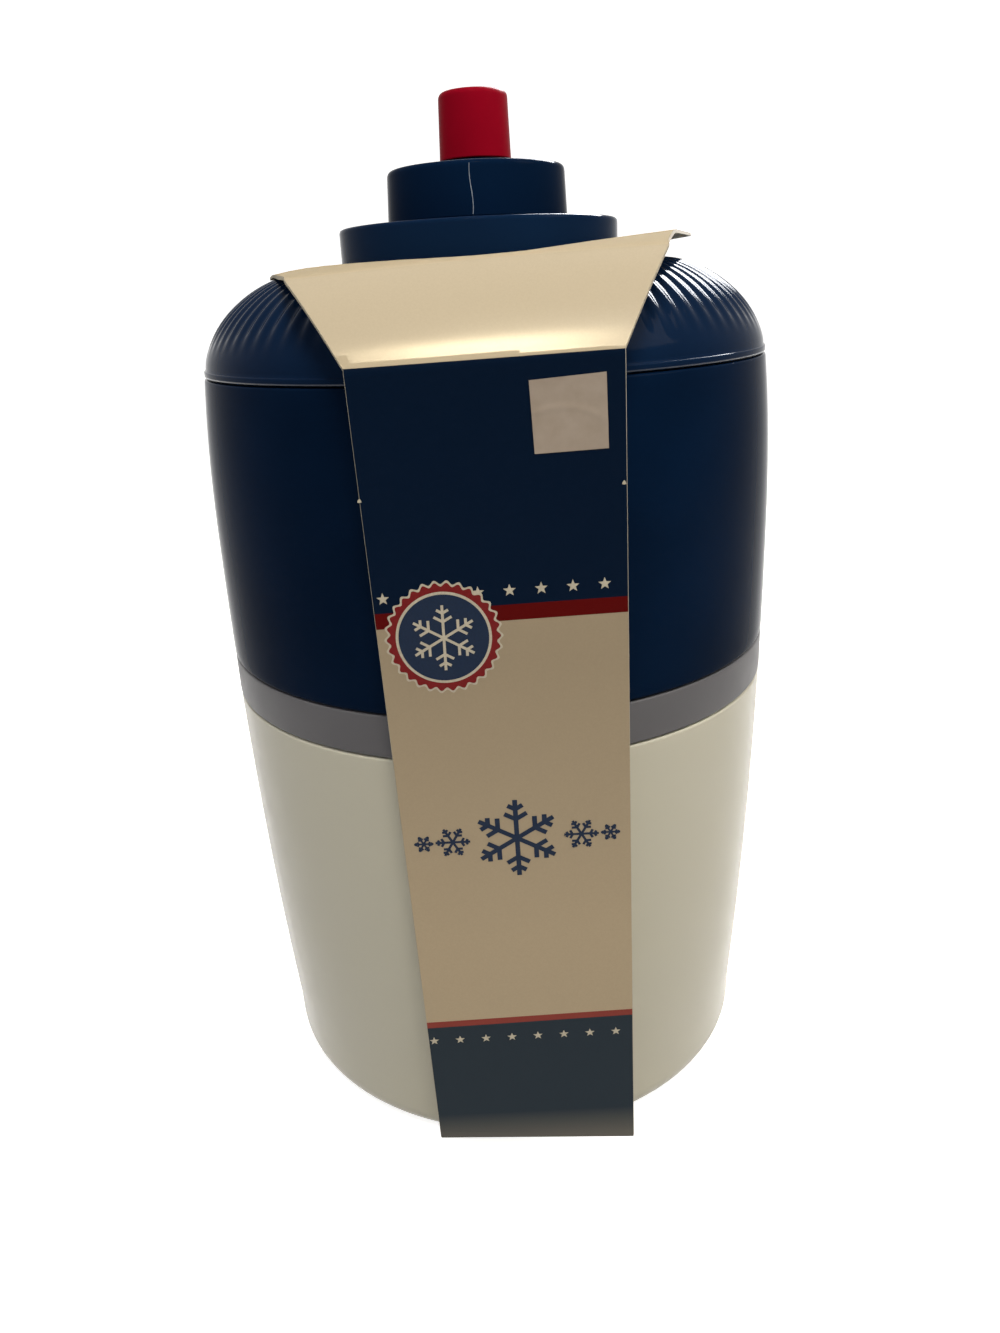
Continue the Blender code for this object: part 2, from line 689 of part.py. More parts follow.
def build_shaft():
    journal_top = hub_bottom - seat_gap / 2
    profile = [(0.0, journal_top), (shaft_radius, journal_top), (shaft_radius, collar_top),
               (collar_radius, collar_top), (collar_radius, collar_bottom), (0.0, collar_bottom)]
    shaft = turned("crank_shaft", profile, "steel", steps=24)
    lap = collar_thickness / 2
    upper = square_bar("drive_end", drive_side, journal_top - lap, hub_bottom + drive_length)
    lower = square_bar("pusher_bar", drive_side, shaft_bottom, collar_bottom + lap)
    fuse(shaft, upper, lower)
    groove_radius = drive_side / 2 - clip_groove / 2
    groove = turned("clip_groove", [(drive_side, clip_bottom + clip_thickness + running_gap),
                                    (drive_side, clip_bottom - running_gap),
                                    (groove_radius, clip_bottom - running_gap),
                                    (groove_radius, clip_bottom + clip_thickness + running_gap)],
                    ring=True, steps=16)
    thread = rod("crank_thread", crank_screw_radius + running_gap,
                 hub_bottom + drive_length - crank_screw_length, knob_top, sides=12)
    cut(shaft, groove, thread)

    clip = turned("retaining_clip", [(clip_radius, clip_bottom + clip_thickness), (clip_radius, clip_bottom),
                                     (groove_radius + running_gap, clip_bottom),
                                     (groove_radius + running_gap, clip_bottom + clip_thickness)],
                  "steel", ring=True, steps=20)
    mouth = groove_radius * 0.8
    cut(clip, block("clip_mouth", (0.0, -mouth, clip_bottom - clip_thickness),
                    (2 * clip_radius, mouth, clip_bottom + 2 * clip_thickness)))

    lip = spring_cup_radius - spring_cup_lip
    turned("spring_cup", [(spring_cup_radius, spring_cup_bottom + spring_cup_thickness),
                          (spring_cup_radius, spring_cup_bottom - spring_wire / 2),
                          (lip, spring_cup_bottom - spring_wire / 2), (lip, spring_cup_bottom),
                          (shaft_radius + running_gap, spring_cup_bottom),
                          (shaft_radius + running_gap, spring_cup_bottom + spring_cup_thickness)],
           "steel", ring=True, steps=20)


# The arm seen from above: two arcs joined by straight flanks
def arm_outline(name, inset, bottom, top, finish=None):
    curve = bpy.data.curves.new(name, "CURVE")
    curve.dimensions = "2D"
    curve.fill_mode = "BOTH"
    curve.extrude = (top - bottom) / 2
    root = arm_root_width / 2 - inset
    end = arm_end_radius - inset
    slope = math.asin((root - end) / crank_reach)
    points = []
    arcs = ((0.0, root, math.pi + slope, math.pi - 2 * slope),
            (crank_reach, end, -slope, math.pi + 2 * slope))
    for centre, radius, start, sweep in arcs:
        for index in range(arm_arc_steps + 1):
            angle = start + sweep * index / arm_arc_steps
            points.append((radius * math.cos(angle), centre + radius * math.sin(angle)))
    spline = curve.splines.new("POLY")
    spline.points.add(len(points) - 1)
    for point, (x, y) in zip(spline.points, points):
        point.co = (x, y, 0.0, 1.0)
    spline.use_cyclic_u = True
    flat = bpy.data.objects.new(name + "_curve", curve)
    cutters.objects.link(flat)
    mesh = baked(flat)
    bm = bmesh.new()
    bm.from_mesh(mesh)
    bpy.data.meshes.remove(mesh)
    bmesh.ops.remove_doubles(bm, verts=bm.verts, dist=0.001 * mm)
    bmesh.ops.recalc_face_normals(bm, faces=bm.faces)
    bmesh.ops.translate(bm, verts=bm.verts, vec=(0.0, 0.0, (bottom + top) / 2))
    return from_bmesh(name, bm, finish)


def build_crank():
    arm = arm_outline("crank_arm", 0.0, arm_bottom, hub_top, "navy_plastic")
    round_edges(arm, arm_edge)
    edge = quarter(hub_radius - hub_draft - arm_edge, hub_top - arm_edge, arm_edge, 90, 0, corner_steps)
    hub = turned("crank_hub", [(0.0, hub_top)] + edge + [(hub_radius, hub_bottom), (0.0, hub_bottom)],
                 steps=32)
    flare = quarter(knob_boss_radius + knob_boss_fillet, hub_top + knob_boss_fillet, knob_boss_fillet,
                    180, 180 + knob_boss_flare, corner_steps)
    foot = hub_top - arm_edge
    boss = turned("knob_boss", [(0.0, knob_boss_top), (knob_boss_radius, knob_boss_top)] + flare
                  + [(arm_end_radius - arm_edge, foot), (0.0, foot)], steps=24)
    boss.location.y = crank_reach
    fuse(arm, hub, boss)

    # channel under the arm, with cross ribs left standing in it
    roof = hub_top - arm_wall
    channel = arm_outline("arm_channel", arm_wall, arm_bottom - arm_wall, roof)
    keep_end = rod("keep_end", pin_radius + 2 * arm_wall, arm_bottom - 2 * arm_wall, hub_top, sides=20,
                   location=(0.0, crank_reach))
    keep_hub = rod("keep_hub", hub_radius - arm_wall / 2, arm_bottom - 2 * arm_wall, hub_top, sides=24)
    first = hub_radius + arm_rib_pitch
    last = crank_reach - pin_radius - 2 * arm_wall - arm_rib_pitch / 2
    rib = block("arm_rib", (-arm_root_width, -arm_wall / 3, arm_bottom - 2 * arm_wall),
                (arm_root_width, arm_wall / 3, hub_top))
    count = max(1, int((last - first) / arm_rib_pitch) + 1)
    rows = [Matrix.Translation((0, first + index * arm_rib_pitch, 0)) for index in range(count)]
    cut(channel, keep_hub, keep_end, copies("arm_ribs", rib, rows))
    cut(arm, channel)

    head_seat = hub_bottom + drive_length + seat_gap
    drive = square_bar("drive_socket", drive_side + 2 * running_gap, hub_bottom - arm_wall, head_seat)
    well = rod("screw_well", crank_screw_head + slip_gap, head_seat + arm_wall / 2, hub_top + arm_wall,
               sides=20)
    through = rod("screw_way", crank_screw_radius + running_gap, hub_bottom, hub_top, sides=12)
    pin_hole = rod("pin_hole", pin_radius + running_gap, knob_boss_top - pin_bite - seat_gap,
                   knob_boss_top + arm_wall, sides=20, location=(0.0, crank_reach))
    cut(arm, drive, well, through, pin_hole)

    seat = head_seat + arm_wall / 2 + seat_gap
    head_top = seat + crank_screw_head_height
    tip = head_seat - crank_screw_length + 2 * seat_gap
    profile = [(0.0, head_top), (crank_screw_head * pan_flat, head_top),
               (crank_screw_head, seat + crank_screw_head_height * pan_side), (crank_screw_head, seat),
               (crank_screw_radius, seat), (crank_screw_radius, tip), (0.0, tip)]
    slot = block("screw_slot", (-crank_screw_head, -screw_slot_width / 2, head_top - screw_slot_depth),
                 (crank_screw_head, screw_slot_width / 2, knob_top))
    cut(turned("crank_screw", profile, "steel", steps=16), slot)


def build_knob():
    bore = pin_radius + running_gap
    well = knob_cap_radius + running_gap
    shelf = pin_head_bottom - seat_gap
    crown = quarter(knob_top_radius - knob_crown, knob_top - knob_crown, knob_crown, 90, 0, 2 * corner_steps)
    knob = turned("knob", [(well, knob_top)] + crown
                  + [(knob_base_radius, knob_bottom), (bore, knob_bottom), (bore, shelf), (well, shelf)],
                  "red_plastic", ring=True, steps=24)
    cap_bottom = knob_top - knob_cap_thickness - knob_cap_dome
    cap = turned("knob_cap", [(0.0, knob_top + knob_cap_dome),
                              (knob_cap_radius * dome_ring, knob_top + knob_cap_dome * dome_rise),
                              (knob_cap_radius, knob_top), (knob_cap_radius, cap_bottom), (0.0, cap_bottom)],
                 "red_plastic", steps=24)
    head_top = pin_head_bottom + pin_head_height
    tip = knob_boss_top - pin_bite
    pin = turned("knob_pin", [(0.0, head_top), (pin_head_radius, head_top),
                              (pin_head_radius, pin_head_bottom), (pin_radius, pin_head_bottom),
                              (pin_radius, tip), (0.0, tip)], "steel", steps=20)
    for item in (knob, cap, pin):
        item.location.y = crank_reach


def build_pusher():
    rim = chamber_radius - lift_gap
    ring_inner = rim - pusher_rim_wall
    hub = pusher_top + pusher_hub_height
    lip = pusher_top + pusher_rim_height
    profile = [(0.0, hub), (pusher_hub_radius, hub), (pusher_hub_radius, pusher_top),
               (ring_inner, pusher_top), (ring_inner, lip), (rim, lip), (rim, pusher_bottom),
               (0.0, pusher_bottom)]
    pusher = turned("pusher_disc", profile, "white_plastic", steps=30)
    start = spring_radius + spring_wire + slip_gap
    rib = block("pusher_rib", (start, -pusher_rib_width / 2, pusher_top - pusher_thickness / 2),
                (ring_inner + pusher_rim_wall / 2, pusher_rib_width / 2, pusher_top + pusher_rim_height / 2))
    fuse(pusher, copies("pusher_ribs", rib, round_the_axis(pusher_rib_count, 0.0)))
    bore = square_bar("pusher_bore", drive_side + 2 * running_gap, pusher_bottom - pusher_thickness,
                      pusher_top + 2 * pusher_hub_height)

    plate_bottom = pusher_bottom - seat_gap - spike_plate_thickness
    plate_top = plate_bottom + spike_plate_thickness
    plate_radius = chamber_radius - spike_plate_inset
    hole = clip_radius + slip_gap
    plate = turned("spike_plate", [(plate_radius, plate_top), (plate_radius, plate_bottom),
                                   (hole, plate_bottom), (hole, plate_top)], "steel", ring=True, steps=24)
    spike = rod("spike", spike_radius, plate_bottom - spike_length,
                plate_bottom + spike_plate_thickness * spike_join, sides=5, tip=spike_tip)
    spots = round_the_axis(spike_inner_count, spike_inner_circle, math.pi / spike_inner_count)
    spots += round_the_axis(spike_outer_count, chamber_radius - spike_outer_inset,
                            math.pi / spike_outer_count)
    fuse(plate, copies("spikes", spike, spots))
    cut(pusher, bore)


def build_spring():
    low = pusher_top + seat_gap + spring_wire / 2
    high = spring_cup_bottom - seat_gap - spring_wire / 2
    curve = bpy.data.curves.new("pusher_spring", "CURVE")
    curve.dimensions = "3D"
    curve.bevel_depth = spring_wire / 2
    curve.bevel_resolution = 1
    curve.use_fill_caps = True
    spline = curve.splines.new("POLY")
    count = spring_turns * spring_turn_points
    spline.points.add(count)
    for index, point in enumerate(spline.points):
        share = index / count
        angle = 2 * math.pi * spring_turns * share
        point.co = (spring_radius * math.cos(angle), spring_radius * math.sin(angle),
                    low + (high - low) * share, 1.0)
    place(bpy.data.objects.new("pusher_spring", curve), parts, "steel")


# Half of the card from the front's lower edge to the middle of its top, then mirrored to the back
def build_sleeve():
    front = widest_radius + card_clear
    rows = ((front, card_bottom), (front, card_first_crease), (front - card_lean, card_top),
            (0.0, card_top))
    bm = bmesh.new()
    last = len(rows) - 1
    bmesh.ops.create_grid(bm, x_segments=1, y_segments=last, size=0.5)
    for vert in bm.verts:
        row = round((vert.co.y + 0.5) * last)
        out, height = rows[row]
        if row < last - 1:
            share = (height - card_bottom) / (card_first_crease - card_bottom)
            half = card_bottom_half + (card_crease_half - card_bottom_half) * share
            middle = card_askew * (1 - share)
        else:
            half = card_shoulder_half if row == last - 1 else card_top_half
            middle = 0.0
        vert.co = Vector((middle + math.copysign(half, vert.co.x), -out, height))
    bmesh.ops.recalc_face_normals(bm, faces=bm.faces)
    sleeve = from_bmesh("card_sleeve", bm, "card")
    mirror = sleeve.modifiers.new("back", "MIRROR")
    mirror.use_axis = (False, True, False)
    mirror.merge_threshold = 0.01 * mm
    solid = sleeve.modifiers.new("card", "SOLIDIFY")
    solid.thickness = card_thickness
    solid.offset = 1.0
    solid.use_even_offset = True
    hole = rod("sleeve_hole", turret_radius + card_hole_gap, lid_top - lid_wall, turret_top, sides=32)
    cut(sleeve, hole)


# Shading that is smooth up to the edges sharper than a set angle, as nodes so that it stays live
def make_smooth_shading(angle):
    tree = bpy.data.node_groups.new("smooth_shading", "GeometryNodeTree")
    tree.interface.new_socket("Geometry", in_out="INPUT", socket_type="NodeSocketGeometry")
    tree.interface.new_socket("Geometry", in_out="OUTPUT", socket_type="NodeSocketGeometry")
    start = tree.nodes.new("NodeGroupInput")
    faces = tree.nodes.new("GeometryNodeSetShadeSmooth")
    edge_angle = tree.nodes.new("GeometryNodeInputMeshEdgeAngle")
    sharper = tree.nodes.new("FunctionNodeCompare")
    sharper.inputs["B"].default_value = angle
    edges = tree.nodes.new("GeometryNodeSetShadeSmooth")
    edges.domain = "EDGE"
    edges.inputs["Shade Smooth"].default_value = False
    end = tree.nodes.new("NodeGroupOutput")
    tree.links.new(start.outputs["Geometry"], faces.inputs["Geometry"])
    tree.links.new(faces.outputs["Geometry"], edges.inputs["Geometry"])
    tree.links.new(edge_angle.outputs["Unsigned Angle"], sharper.inputs["A"])
    tree.links.new(sharper.outputs["Result"], edges.inputs["Selection"])
    tree.links.new(edges.outputs["Geometry"], end.inputs["Geometry"])
    return tree


build_cup()
build_carrier()
blade_screws = build_blade()
build_chamber()
carrier_screws = build_housing()
build_lid()
turret_screws = build_turret()
build_shaft()
build_crank()
build_knob()
build_pusher()
build_spring()
build_sleeve()

smooth_shading = make_smooth_shading(smooth_angle)
for item in parts.objects:
    if item.type == "MESH" and item.data.users == 1:
        item.modifiers.new("smooth shading", "NODES").node_group = smooth_shading

# Joints: each moving group hangs from an empty on its axis
groups = {
    "housing_slide": ((0.0, 0.0), ("upper_housing", "blade_carrier", "shaving_blade", "blade_clamp",
                                   "ice_chamber", *blade_screws, *carrier_screws)),
    "lid_slide": ((0.0, 0.0), ("lid_dome", "lid_seal", "bearing_turret", "shaft_bush", "thrust_washer",
                               "card_sleeve", *turret_screws)),
    "crank_hinge": ((0.0, 0.0), ("crank_arm", "crank_shaft", "crank_screw", "knob_pin", "retaining_clip",
                                 "spring_cup", "pusher_spring")),
    "knob_hinge": ((0.0, crank_reach), ("knob", "knob_cap")),
    "pusher_slide": ((0.0, 0.0), ("pusher_disc", "spike_plate")),
}
parents = {"lid_slide": "housing_slide", "crank_hinge": "lid_slide", "knob_hinge": "crank_hinge",
           "pusher_slide": "crank_hinge"}
for joint, (spot, members) in groups.items():
    empty = bpy.data.objects.new(joint, None)
    parts.objects.link(empty)
    empty.location = (*spot, 0.0)
    bpy.context.view_layer.update()
    for member in members:
        item = bpy.data.objects[member]
        item.parent = empty
        item.matrix_parent_inverse = empty.matrix_world.inverted()
for child, parent in parents.items():
    item = bpy.data.objects[child]
    item.parent = bpy.data.objects[parent]
    item.matrix_parent_inverse = bpy.data.objects[parent].matrix_world.inverted()
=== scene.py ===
from functools import partial
from math import asin, atan2, copysign, cos, exp, hypot, pi, radians, sin, sqrt

import bmesh
import bpy
from mathutils import Matrix, Vector


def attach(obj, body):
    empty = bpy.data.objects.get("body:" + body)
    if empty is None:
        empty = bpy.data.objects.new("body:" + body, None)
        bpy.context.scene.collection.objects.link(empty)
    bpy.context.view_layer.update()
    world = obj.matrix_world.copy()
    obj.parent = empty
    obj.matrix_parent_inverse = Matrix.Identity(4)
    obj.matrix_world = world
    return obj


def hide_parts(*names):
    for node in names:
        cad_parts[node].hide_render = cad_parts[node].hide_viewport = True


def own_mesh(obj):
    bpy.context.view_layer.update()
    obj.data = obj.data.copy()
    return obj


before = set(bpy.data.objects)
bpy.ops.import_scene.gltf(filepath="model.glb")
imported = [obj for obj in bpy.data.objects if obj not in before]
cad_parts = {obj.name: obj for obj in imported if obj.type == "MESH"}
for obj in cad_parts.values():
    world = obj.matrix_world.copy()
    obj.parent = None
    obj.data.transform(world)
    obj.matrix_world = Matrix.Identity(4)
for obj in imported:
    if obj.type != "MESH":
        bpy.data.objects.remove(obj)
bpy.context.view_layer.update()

# Dresses the packed ice shaver: finely turned shells, printed card, materials, floor, light and camera.
# Lengths are in millimetres, and each piece is made where the model has it.

collection = bpy.context.scene.collection
mm = 0.001
sharpAngle = radians(30)


# A new node, or one that is there already, with its settings and sockets filled in. A value that is
# an output joins the socket to it, and a node stands for its first output in use.
def addNode(tree, kind, values=None):
    prefix = "ShaderNode" if tree.type == "SHADER" else ""
    item = tree.nodes.new(prefix + kind) if isinstance(kind, str) else kind
    for key, value in (values or {}).items():
        if isinstance(value, bpy.types.Node):
            value = next(output for output in value.outputs if output.enabled)
        if isinstance(value, bpy.types.NodeSocket):
            tree.links.new(value, item.inputs[key])
        elif isinstance(key, int) or key in item.inputs:
            item.inputs[key].default_value = value
        else:
            setattr(item, key, value)
    return item


def linearColour(code):
    channels = [int(code[start:start + 2], 16) / 255 for start in (1, 3, 5)]
    return (*[c / 12.92 if c <= 0.04045 else ((c + 0.055) / 1.055) ** 2.4 for c in channels], 1.0)


def perMm(size):
    return 1 / (size * mm)          # noise scale for features of that many millimetres


def newMaterial(name):
    material = bpy.data.materials.new(name)
    material.use_nodes = True
    tree = material.node_tree
    place = addNode(tree, "TexCoord").outputs["Object"]
    return material, partial(addNode, tree), tree.nodes["Principled BSDF"], place


def setStops(ramp, stops):
    elements = ramp.color_ramp.elements
    while len(elements) < len(stops):
        elements.new(0.5)
    for element, (position, colour) in zip(elements, stops):
        element.position = position
        element.color = linearColour(colour)


# Moulded plastics: a slow drift of colour, a fine moulded skin and a little handling haze in the gloss
def mouldedPlastic(name, colour, shade, roughness, haze, hazeSize, skin, skinSize, specular, ior=1.53, glow=0.0,
                   clear=0.0, driftSize=38, skinDepth=0.02):
    material, add, shader, place = newMaterial(name)
    drift = add("TexNoise", {"Scale": perMm(driftSize), "Detail": 2.0, "Vector": place})
    tint = add("ValToRGB", {"Fac": drift})
    setStops(tint, ((0.3, shade), (0.7, colour)))
    smears = add("TexNoise", {
        "Scale": perMm(hazeSize), "Detail": 5.0, "Roughness": 0.6, "Distortion": 0.4, "Vector": place})
    gloss = add("MapRange", {
        "From Min": 0.35, "From Max": 0.75, "To Min": roughness, "To Max": roughness + haze, "Value": smears})
    pits = add("TexNoise", {"Scale": perMm(skinSize), "Detail": 2.0, "Vector": place})
    bump = add("Bump", {"Strength": skin, "Distance": skinDepth * mm, "Height": pits})
    add(shader, {
        "IOR": ior, "Specular IOR Level": specular, "Subsurface Weight": glow,
        "Subsurface Radius": (2.0 * mm, 1.8 * mm, 1.4 * mm), "Subsurface Scale": 1.0,
        "Transmission Weight": clear, "Base Color": tint, "Roughness": gloss, "Normal": bump})
    return material


# Glossy ABS, dyed through: a deep navy that shows mostly as clean reflections
navyAbs = mouldedPlastic(
    "glossy navy ABS", colour="#071c36", shade="#05162c", roughness=0.1, haze=0.05, hazeSize=14, skin=0.05,
    skinSize=2.4, specular=0.006)

# The same ABS from a finer tool: the lid and turret are a touch bluer
navyLidAbs = mouldedPlastic(
    "satin navy ABS", colour="#0c223e", shade="#0a1d36", roughness=0.09, haze=0.05, hazeSize=9, skin=0.06,
    skinSize=1.6, specular=0.012)

# The lid's rolled rim, buffed where the mould closed: it catches the light as a line
buffedAbs = mouldedPlastic(
    "buffed navy ABS", colour="#0c223e", shade="#0a1d36", roughness=0.12, haze=0.04, hazeSize=5, skin=0.05,
    skinSize=1.6, specular=0.25)

# Blue grey ABS of the blade carrier: matter than the shells, so it reads as a band
greyAbs = mouldedPlastic(
    "grey ABS", colour="#646365", shade="#5c5b5e", roughness=0.36, haze=0.08, hazeSize=8, skin=0.12,
    skinSize=1.0, specular=0.12)

# Warm white ABS: opaque, with a soft glow at its edges
whiteAbs = mouldedPlastic(
    "warm white ABS", colour="#c9c5b4", shade="#c7c3b1", roughness=0.22, haze=0.05, hazeSize=20, skin=0.04,
    skinSize=2.4, specular=0.1, glow=0.04)

# Crimson ABS of the knob: saturated, with a satin skin that spreads the light
crimsonAbs = mouldedPlastic(
    "crimson ABS", colour="#940820", shade="#87061b", roughness=0.32, haze=0.1, hazeSize=4, skin=0.2,
    skinSize=0.8, specular=0.01)

# Polypropylene pusher: waxy white
whitePp = mouldedPlastic(
    "white polypropylene", colour="#d3d0c6", shade="#c9c6bb", roughness=0.4, haze=0.1, hazeSize=8, skin=0.15,
    skinSize=0.9, ior=1.49, specular=0.4, glow=0.06)

# Frosted polystyrene of the ice chamber: lets light in but blurs what is behind it
frostedPs = mouldedPlastic(
    "frosted polystyrene", colour="#dde4e6", shade="#d2dadd", roughness=0.38, haze=0.12, hazeSize=7, skin=0.3,
    skinSize=0.8, ior=1.59, specular=0.5, clear=0.6)

# Natural nylon of the bush and washer: ivory and dull
naturalNylon = mouldedPlastic(
    "natural nylon", colour="#c9c3b2", shade="#bcb5a2", roughness=0.46, haze=0.08, hazeSize=4, skin=0.2,
    skinSize=0.7, specular=0.4, glow=0.06)

# Silicone rubber of the pad and the lid's seal: matt grey, dusty
greySilicone = mouldedPlastic(
    "grey silicone rubber", colour="#6c6c6f", shade="#5f5f62", roughness=0.62, haze=0.2, hazeSize=3, skin=0.5,
    skinSize=0.6, ior=1.41, specular=0.4)


# Steels: brushed along one axis, with the fine scratches that the grit leaves
def brushedSteel(name, colour, shade, roughness, grit, grain):
    material, add, shader, place = newMaterial(name)
    stretched = add("Mapping", {"Scale": grain, "Vector": place})
    lines = add("TexNoise", {"Scale": perMm(grit), "Detail": 3.0, "Vector": stretched})
    tint = add("ValToRGB", {"Fac": lines})
    setStops(tint, ((0.0, shade), (1.0, colour)))
    gloss = add("MapRange", {"To Min": roughness - 0.06, "To Max": roughness + 0.1, "Value": lines})
    bump = add("Bump", {"Strength": 0.3, "Distance": 0.01 * mm, "Height": lines})
    add(shader, {"Metallic": 1.0, "Base Color": tint, "Roughness": gloss, "Normal": bump})
    return material


# Stainless steel blade: ground across its edge
bladeSteel = brushedSteel(
    "ground stainless steel", colour="#d6d6d3", shade="#aeaeac", roughness=0.24, grit=0.25,
    grain=(1.0, 0.06, 1.0))

# Plated steel of the shaft, spring and screws: brighter and smoother
platedSteel = brushedSteel(
    "plated steel", colour="#cfcfcd", shade="#b9b9b8", roughness=0.2, grit=0.5, grain=(1.0, 1.0, 0.15))


# Offset printed card: bands of ink by height, painted lighter towards the foot as painted bounce light from the
# floor, paper fibre under a satin coat, and a greyer lower end
cardLook = {
    "navy": "#021226", "navyFaded": "#262e35", "cream": "#a3937a", "red": "#580a09", "redFaded": "#7c3a33",
    # the flap's colour is the front's cream painted lighter: painted light from above on the flap
    "flap": "#b9aa8e", "rubbed": "#857f73", "upperStripe": (127.5, 130.3), "lowerStripe": (37.9, 40.0),
    "crease": 172.7, "span": 190.0, "tilt": 0.0256, "paleFrom": 120.0, "paleTo": 60.0, "paler": 1.3,
    "fold": 14.5, "bottom": 7.0, "wear": 0.55, "fibre": 0.35, "fibreDepth": 0.02, "patch": 22,
    "coatRoughness": 0.36, "uneven": 0.14, "specular": 0.04}


def printedCard(name, look):
    material, add, shader, place = newMaterial(name)
    axes = add("SeparateXYZ", {"Vector": place}).outputs
    drop = add("Math", {"operation": "MULTIPLY", 1: -look["tilt"], 0: axes["X"]})
    height = add("Math", {"operation": "ADD", 0: axes["Z"], 1: drop})
    share = add("MapRange", {"From Max": look["span"] * mm, "Value": height})
    ink = add("ValToRGB", {"Fac": share})
    ink.color_ramp.interpolation = "CONSTANT"
    low, high = look["lowerStripe"], look["upperStripe"]
    bands = ((0.0, "navyFaded"), (low[0], "redFaded"), (low[1], "cream"), (high[0], "red"), (high[1], "navy"),
             (look["crease"], "flap"))
    setStops(ink, [(level / look["span"], look[colour]) for level, colour in bands])
    fibre = add("TexNoise", {"Scale": perMm(look["fibre"]), "Detail": 4.0, "Vector": place})
    grain = add("MapRange", {"To Min": 0.94, "To Max": 1.05, "Value": fibre})
    # painted light: the card is made lighter towards the foot, standing in for light bounced up from the floor
    pale = add("MapRange", {
        "From Min": look["paleFrom"] * mm, "From Max": look["paleTo"] * mm, "To Min": 1.0,
        "To Max": look["paler"], "Value": axes["Z"]})
    tone = add("Math", {"operation": "MULTIPLY", 0: grain, 1: pale})
    inked = add("Mix", {"data_type": "RGBA", "blend_type": "MULTIPLY", "Factor": 1.0, "A": ink, "B": tone})
    patches = add("TexNoise", {"Scale": perMm(look["patch"]), "Detail": 3.0, "Vector": place})
    gloss = add("MapRange", {
        "To Min": look["coatRoughness"], "To Max": look["coatRoughness"] + look["uneven"], "Value": patches})
    # the card turns greyer towards its lower edge
    worn = add("MapRange", {
        "From Min": look["fold"] * mm, "From Max": look["bottom"] * mm, "To Min": 0.0, "To Max": look["wear"],
        "Value": axes["Z"]})
    rubbed = add("Mix", {"data_type": "RGBA", "B": linearColour(look["rubbed"]), "Factor": worn, "A": inked})
    bump = add("Bump", {"Strength": 0.2, "Distance": look["fibreDepth"] * mm, "Height": fibre})
    add(shader, {
        "IOR": 1.5, "Specular IOR Level": look["specular"], "Base Color": rubbed, "Roughness": gloss,
        "Normal": bump})
    return material


# Flat inks and films that lie on the card: one colour with the paper's fibre showing through
def flatFilm(name, colour, shade, fibre=0.4, bump=0.15, roughness=0.4, metallic=0.0, specular=0.3, glow=0.0):
    material, add, shader, place = newMaterial(name)
    fibres = add("TexNoise", {"Scale": perMm(fibre), "Detail": 4.0, "Vector": place})
    tint = add("ValToRGB", {"Fac": fibres})
    setStops(tint, ((0.3, shade), (0.7, colour)))
    relief = add("Bump", {"Strength": bump, "Distance": 0.02 * mm, "Height": fibres})
    add(shader, {
        "Roughness": roughness, "Metallic": metallic, "Specular IOR Level": specular, "Subsurface Weight": glow,
        "Subsurface Radius": (3.0 * mm, 2.6 * mm, 2.0 * mm), "Subsurface Scale": 1.0, "Base Color": tint,
        "Normal": relief})
    return material


coatedCard = printedCard("coated card", cardLook)

# The flap has a varnish, so a lamp above shows as a soft bright band
varnishedCard = printedCard("varnished card", {
    **cardLook, "coatRoughness": 0.2, "specular": 0.5, "uneven": 0.02})

# The top panel is matt, so it stays quiet where it is seen almost edge on
mattCard = printedCard("matt card", {**cardLook, "coatRoughness": 0.8, "specular": 0.005})

# Cut edge of the card: bare pulp, paler than the print
rawCardEdge = flatFilm("cut card edge", colour="#c9c0ac", shade="#a89f8c", fibre=0.3, bump=0.6, roughness=0.85)

# Pale board on the card's unprinted side: a little light from above glows through, and its colour is painted
# lighter than the board's own as painted bounce light on the shaded underside
paleBoard = flatFilm(
    "pale board", colour="#e3dccd", shade="#d4ccbb", fibre=0.5, bump=0.4, roughness=0.9, specular=0.05,
    glow=0.12)

# Printing inks: thin and satin, so the paper's fibre shows in them
creamInk = flatFilm("cream ink", colour="#c3baa5", shade="#b2a993")
redInk = flatFilm("red ink", colour="#761416", shade="#681012", specular=0.15)
navyInk = flatFilm("navy ink", colour="#0d2039", shade="#0a1b31", specular=0.15)

# Blank label: satin aluminised film, warm silver
satinFilm = flatFilm("satin aluminised film", colour="#9b8d7e", shade="#928474", fibre=3.0, metallic=0.25)

# Pale colour along the mould's parting line: a painted highlight
stressedAbs = flatFilm(
    "stress whitened ABS", colour="#aab2bc", shade="#7f8b99", fibre=0.3, bump=0.2, roughness=0.35)
print("materials made:", len(bpy.data.materials))


def addObject(name, data):
    item = bpy.data.objects.new(name, data)
    collection.objects.link(item)
    return item


# An object's mesh with its modifiers applied. The object and its tools go.
def appliedMesh(item, tools=()):
    mesh = bpy.data.meshes.new_from_object(item.evaluated_get(bpy.context.evaluated_depsgraph_get()))
    for spare in (item, *tools):
        bpy.data.objects.remove(spare, do_unlink=True)
    return mesh


def meshFrom(bm):
    mesh = bpy.data.meshes.new("shape")
    bm.to_mesh(mesh)
    bm.free()
    return mesh


# Skins a grid of points, given line by line
def fillGrid(bm, lines):
    for lower, upper in zip(lines, lines[1:]):
        for index in range(len(lower) - 1):
            bm.faces.new((lower[index], lower[index + 1], upper[index + 1], upper[index]))


def alongCorner(start, corner, end, share):
    return start.lerp(corner, share).lerp(corner.lerp(end, share), share)


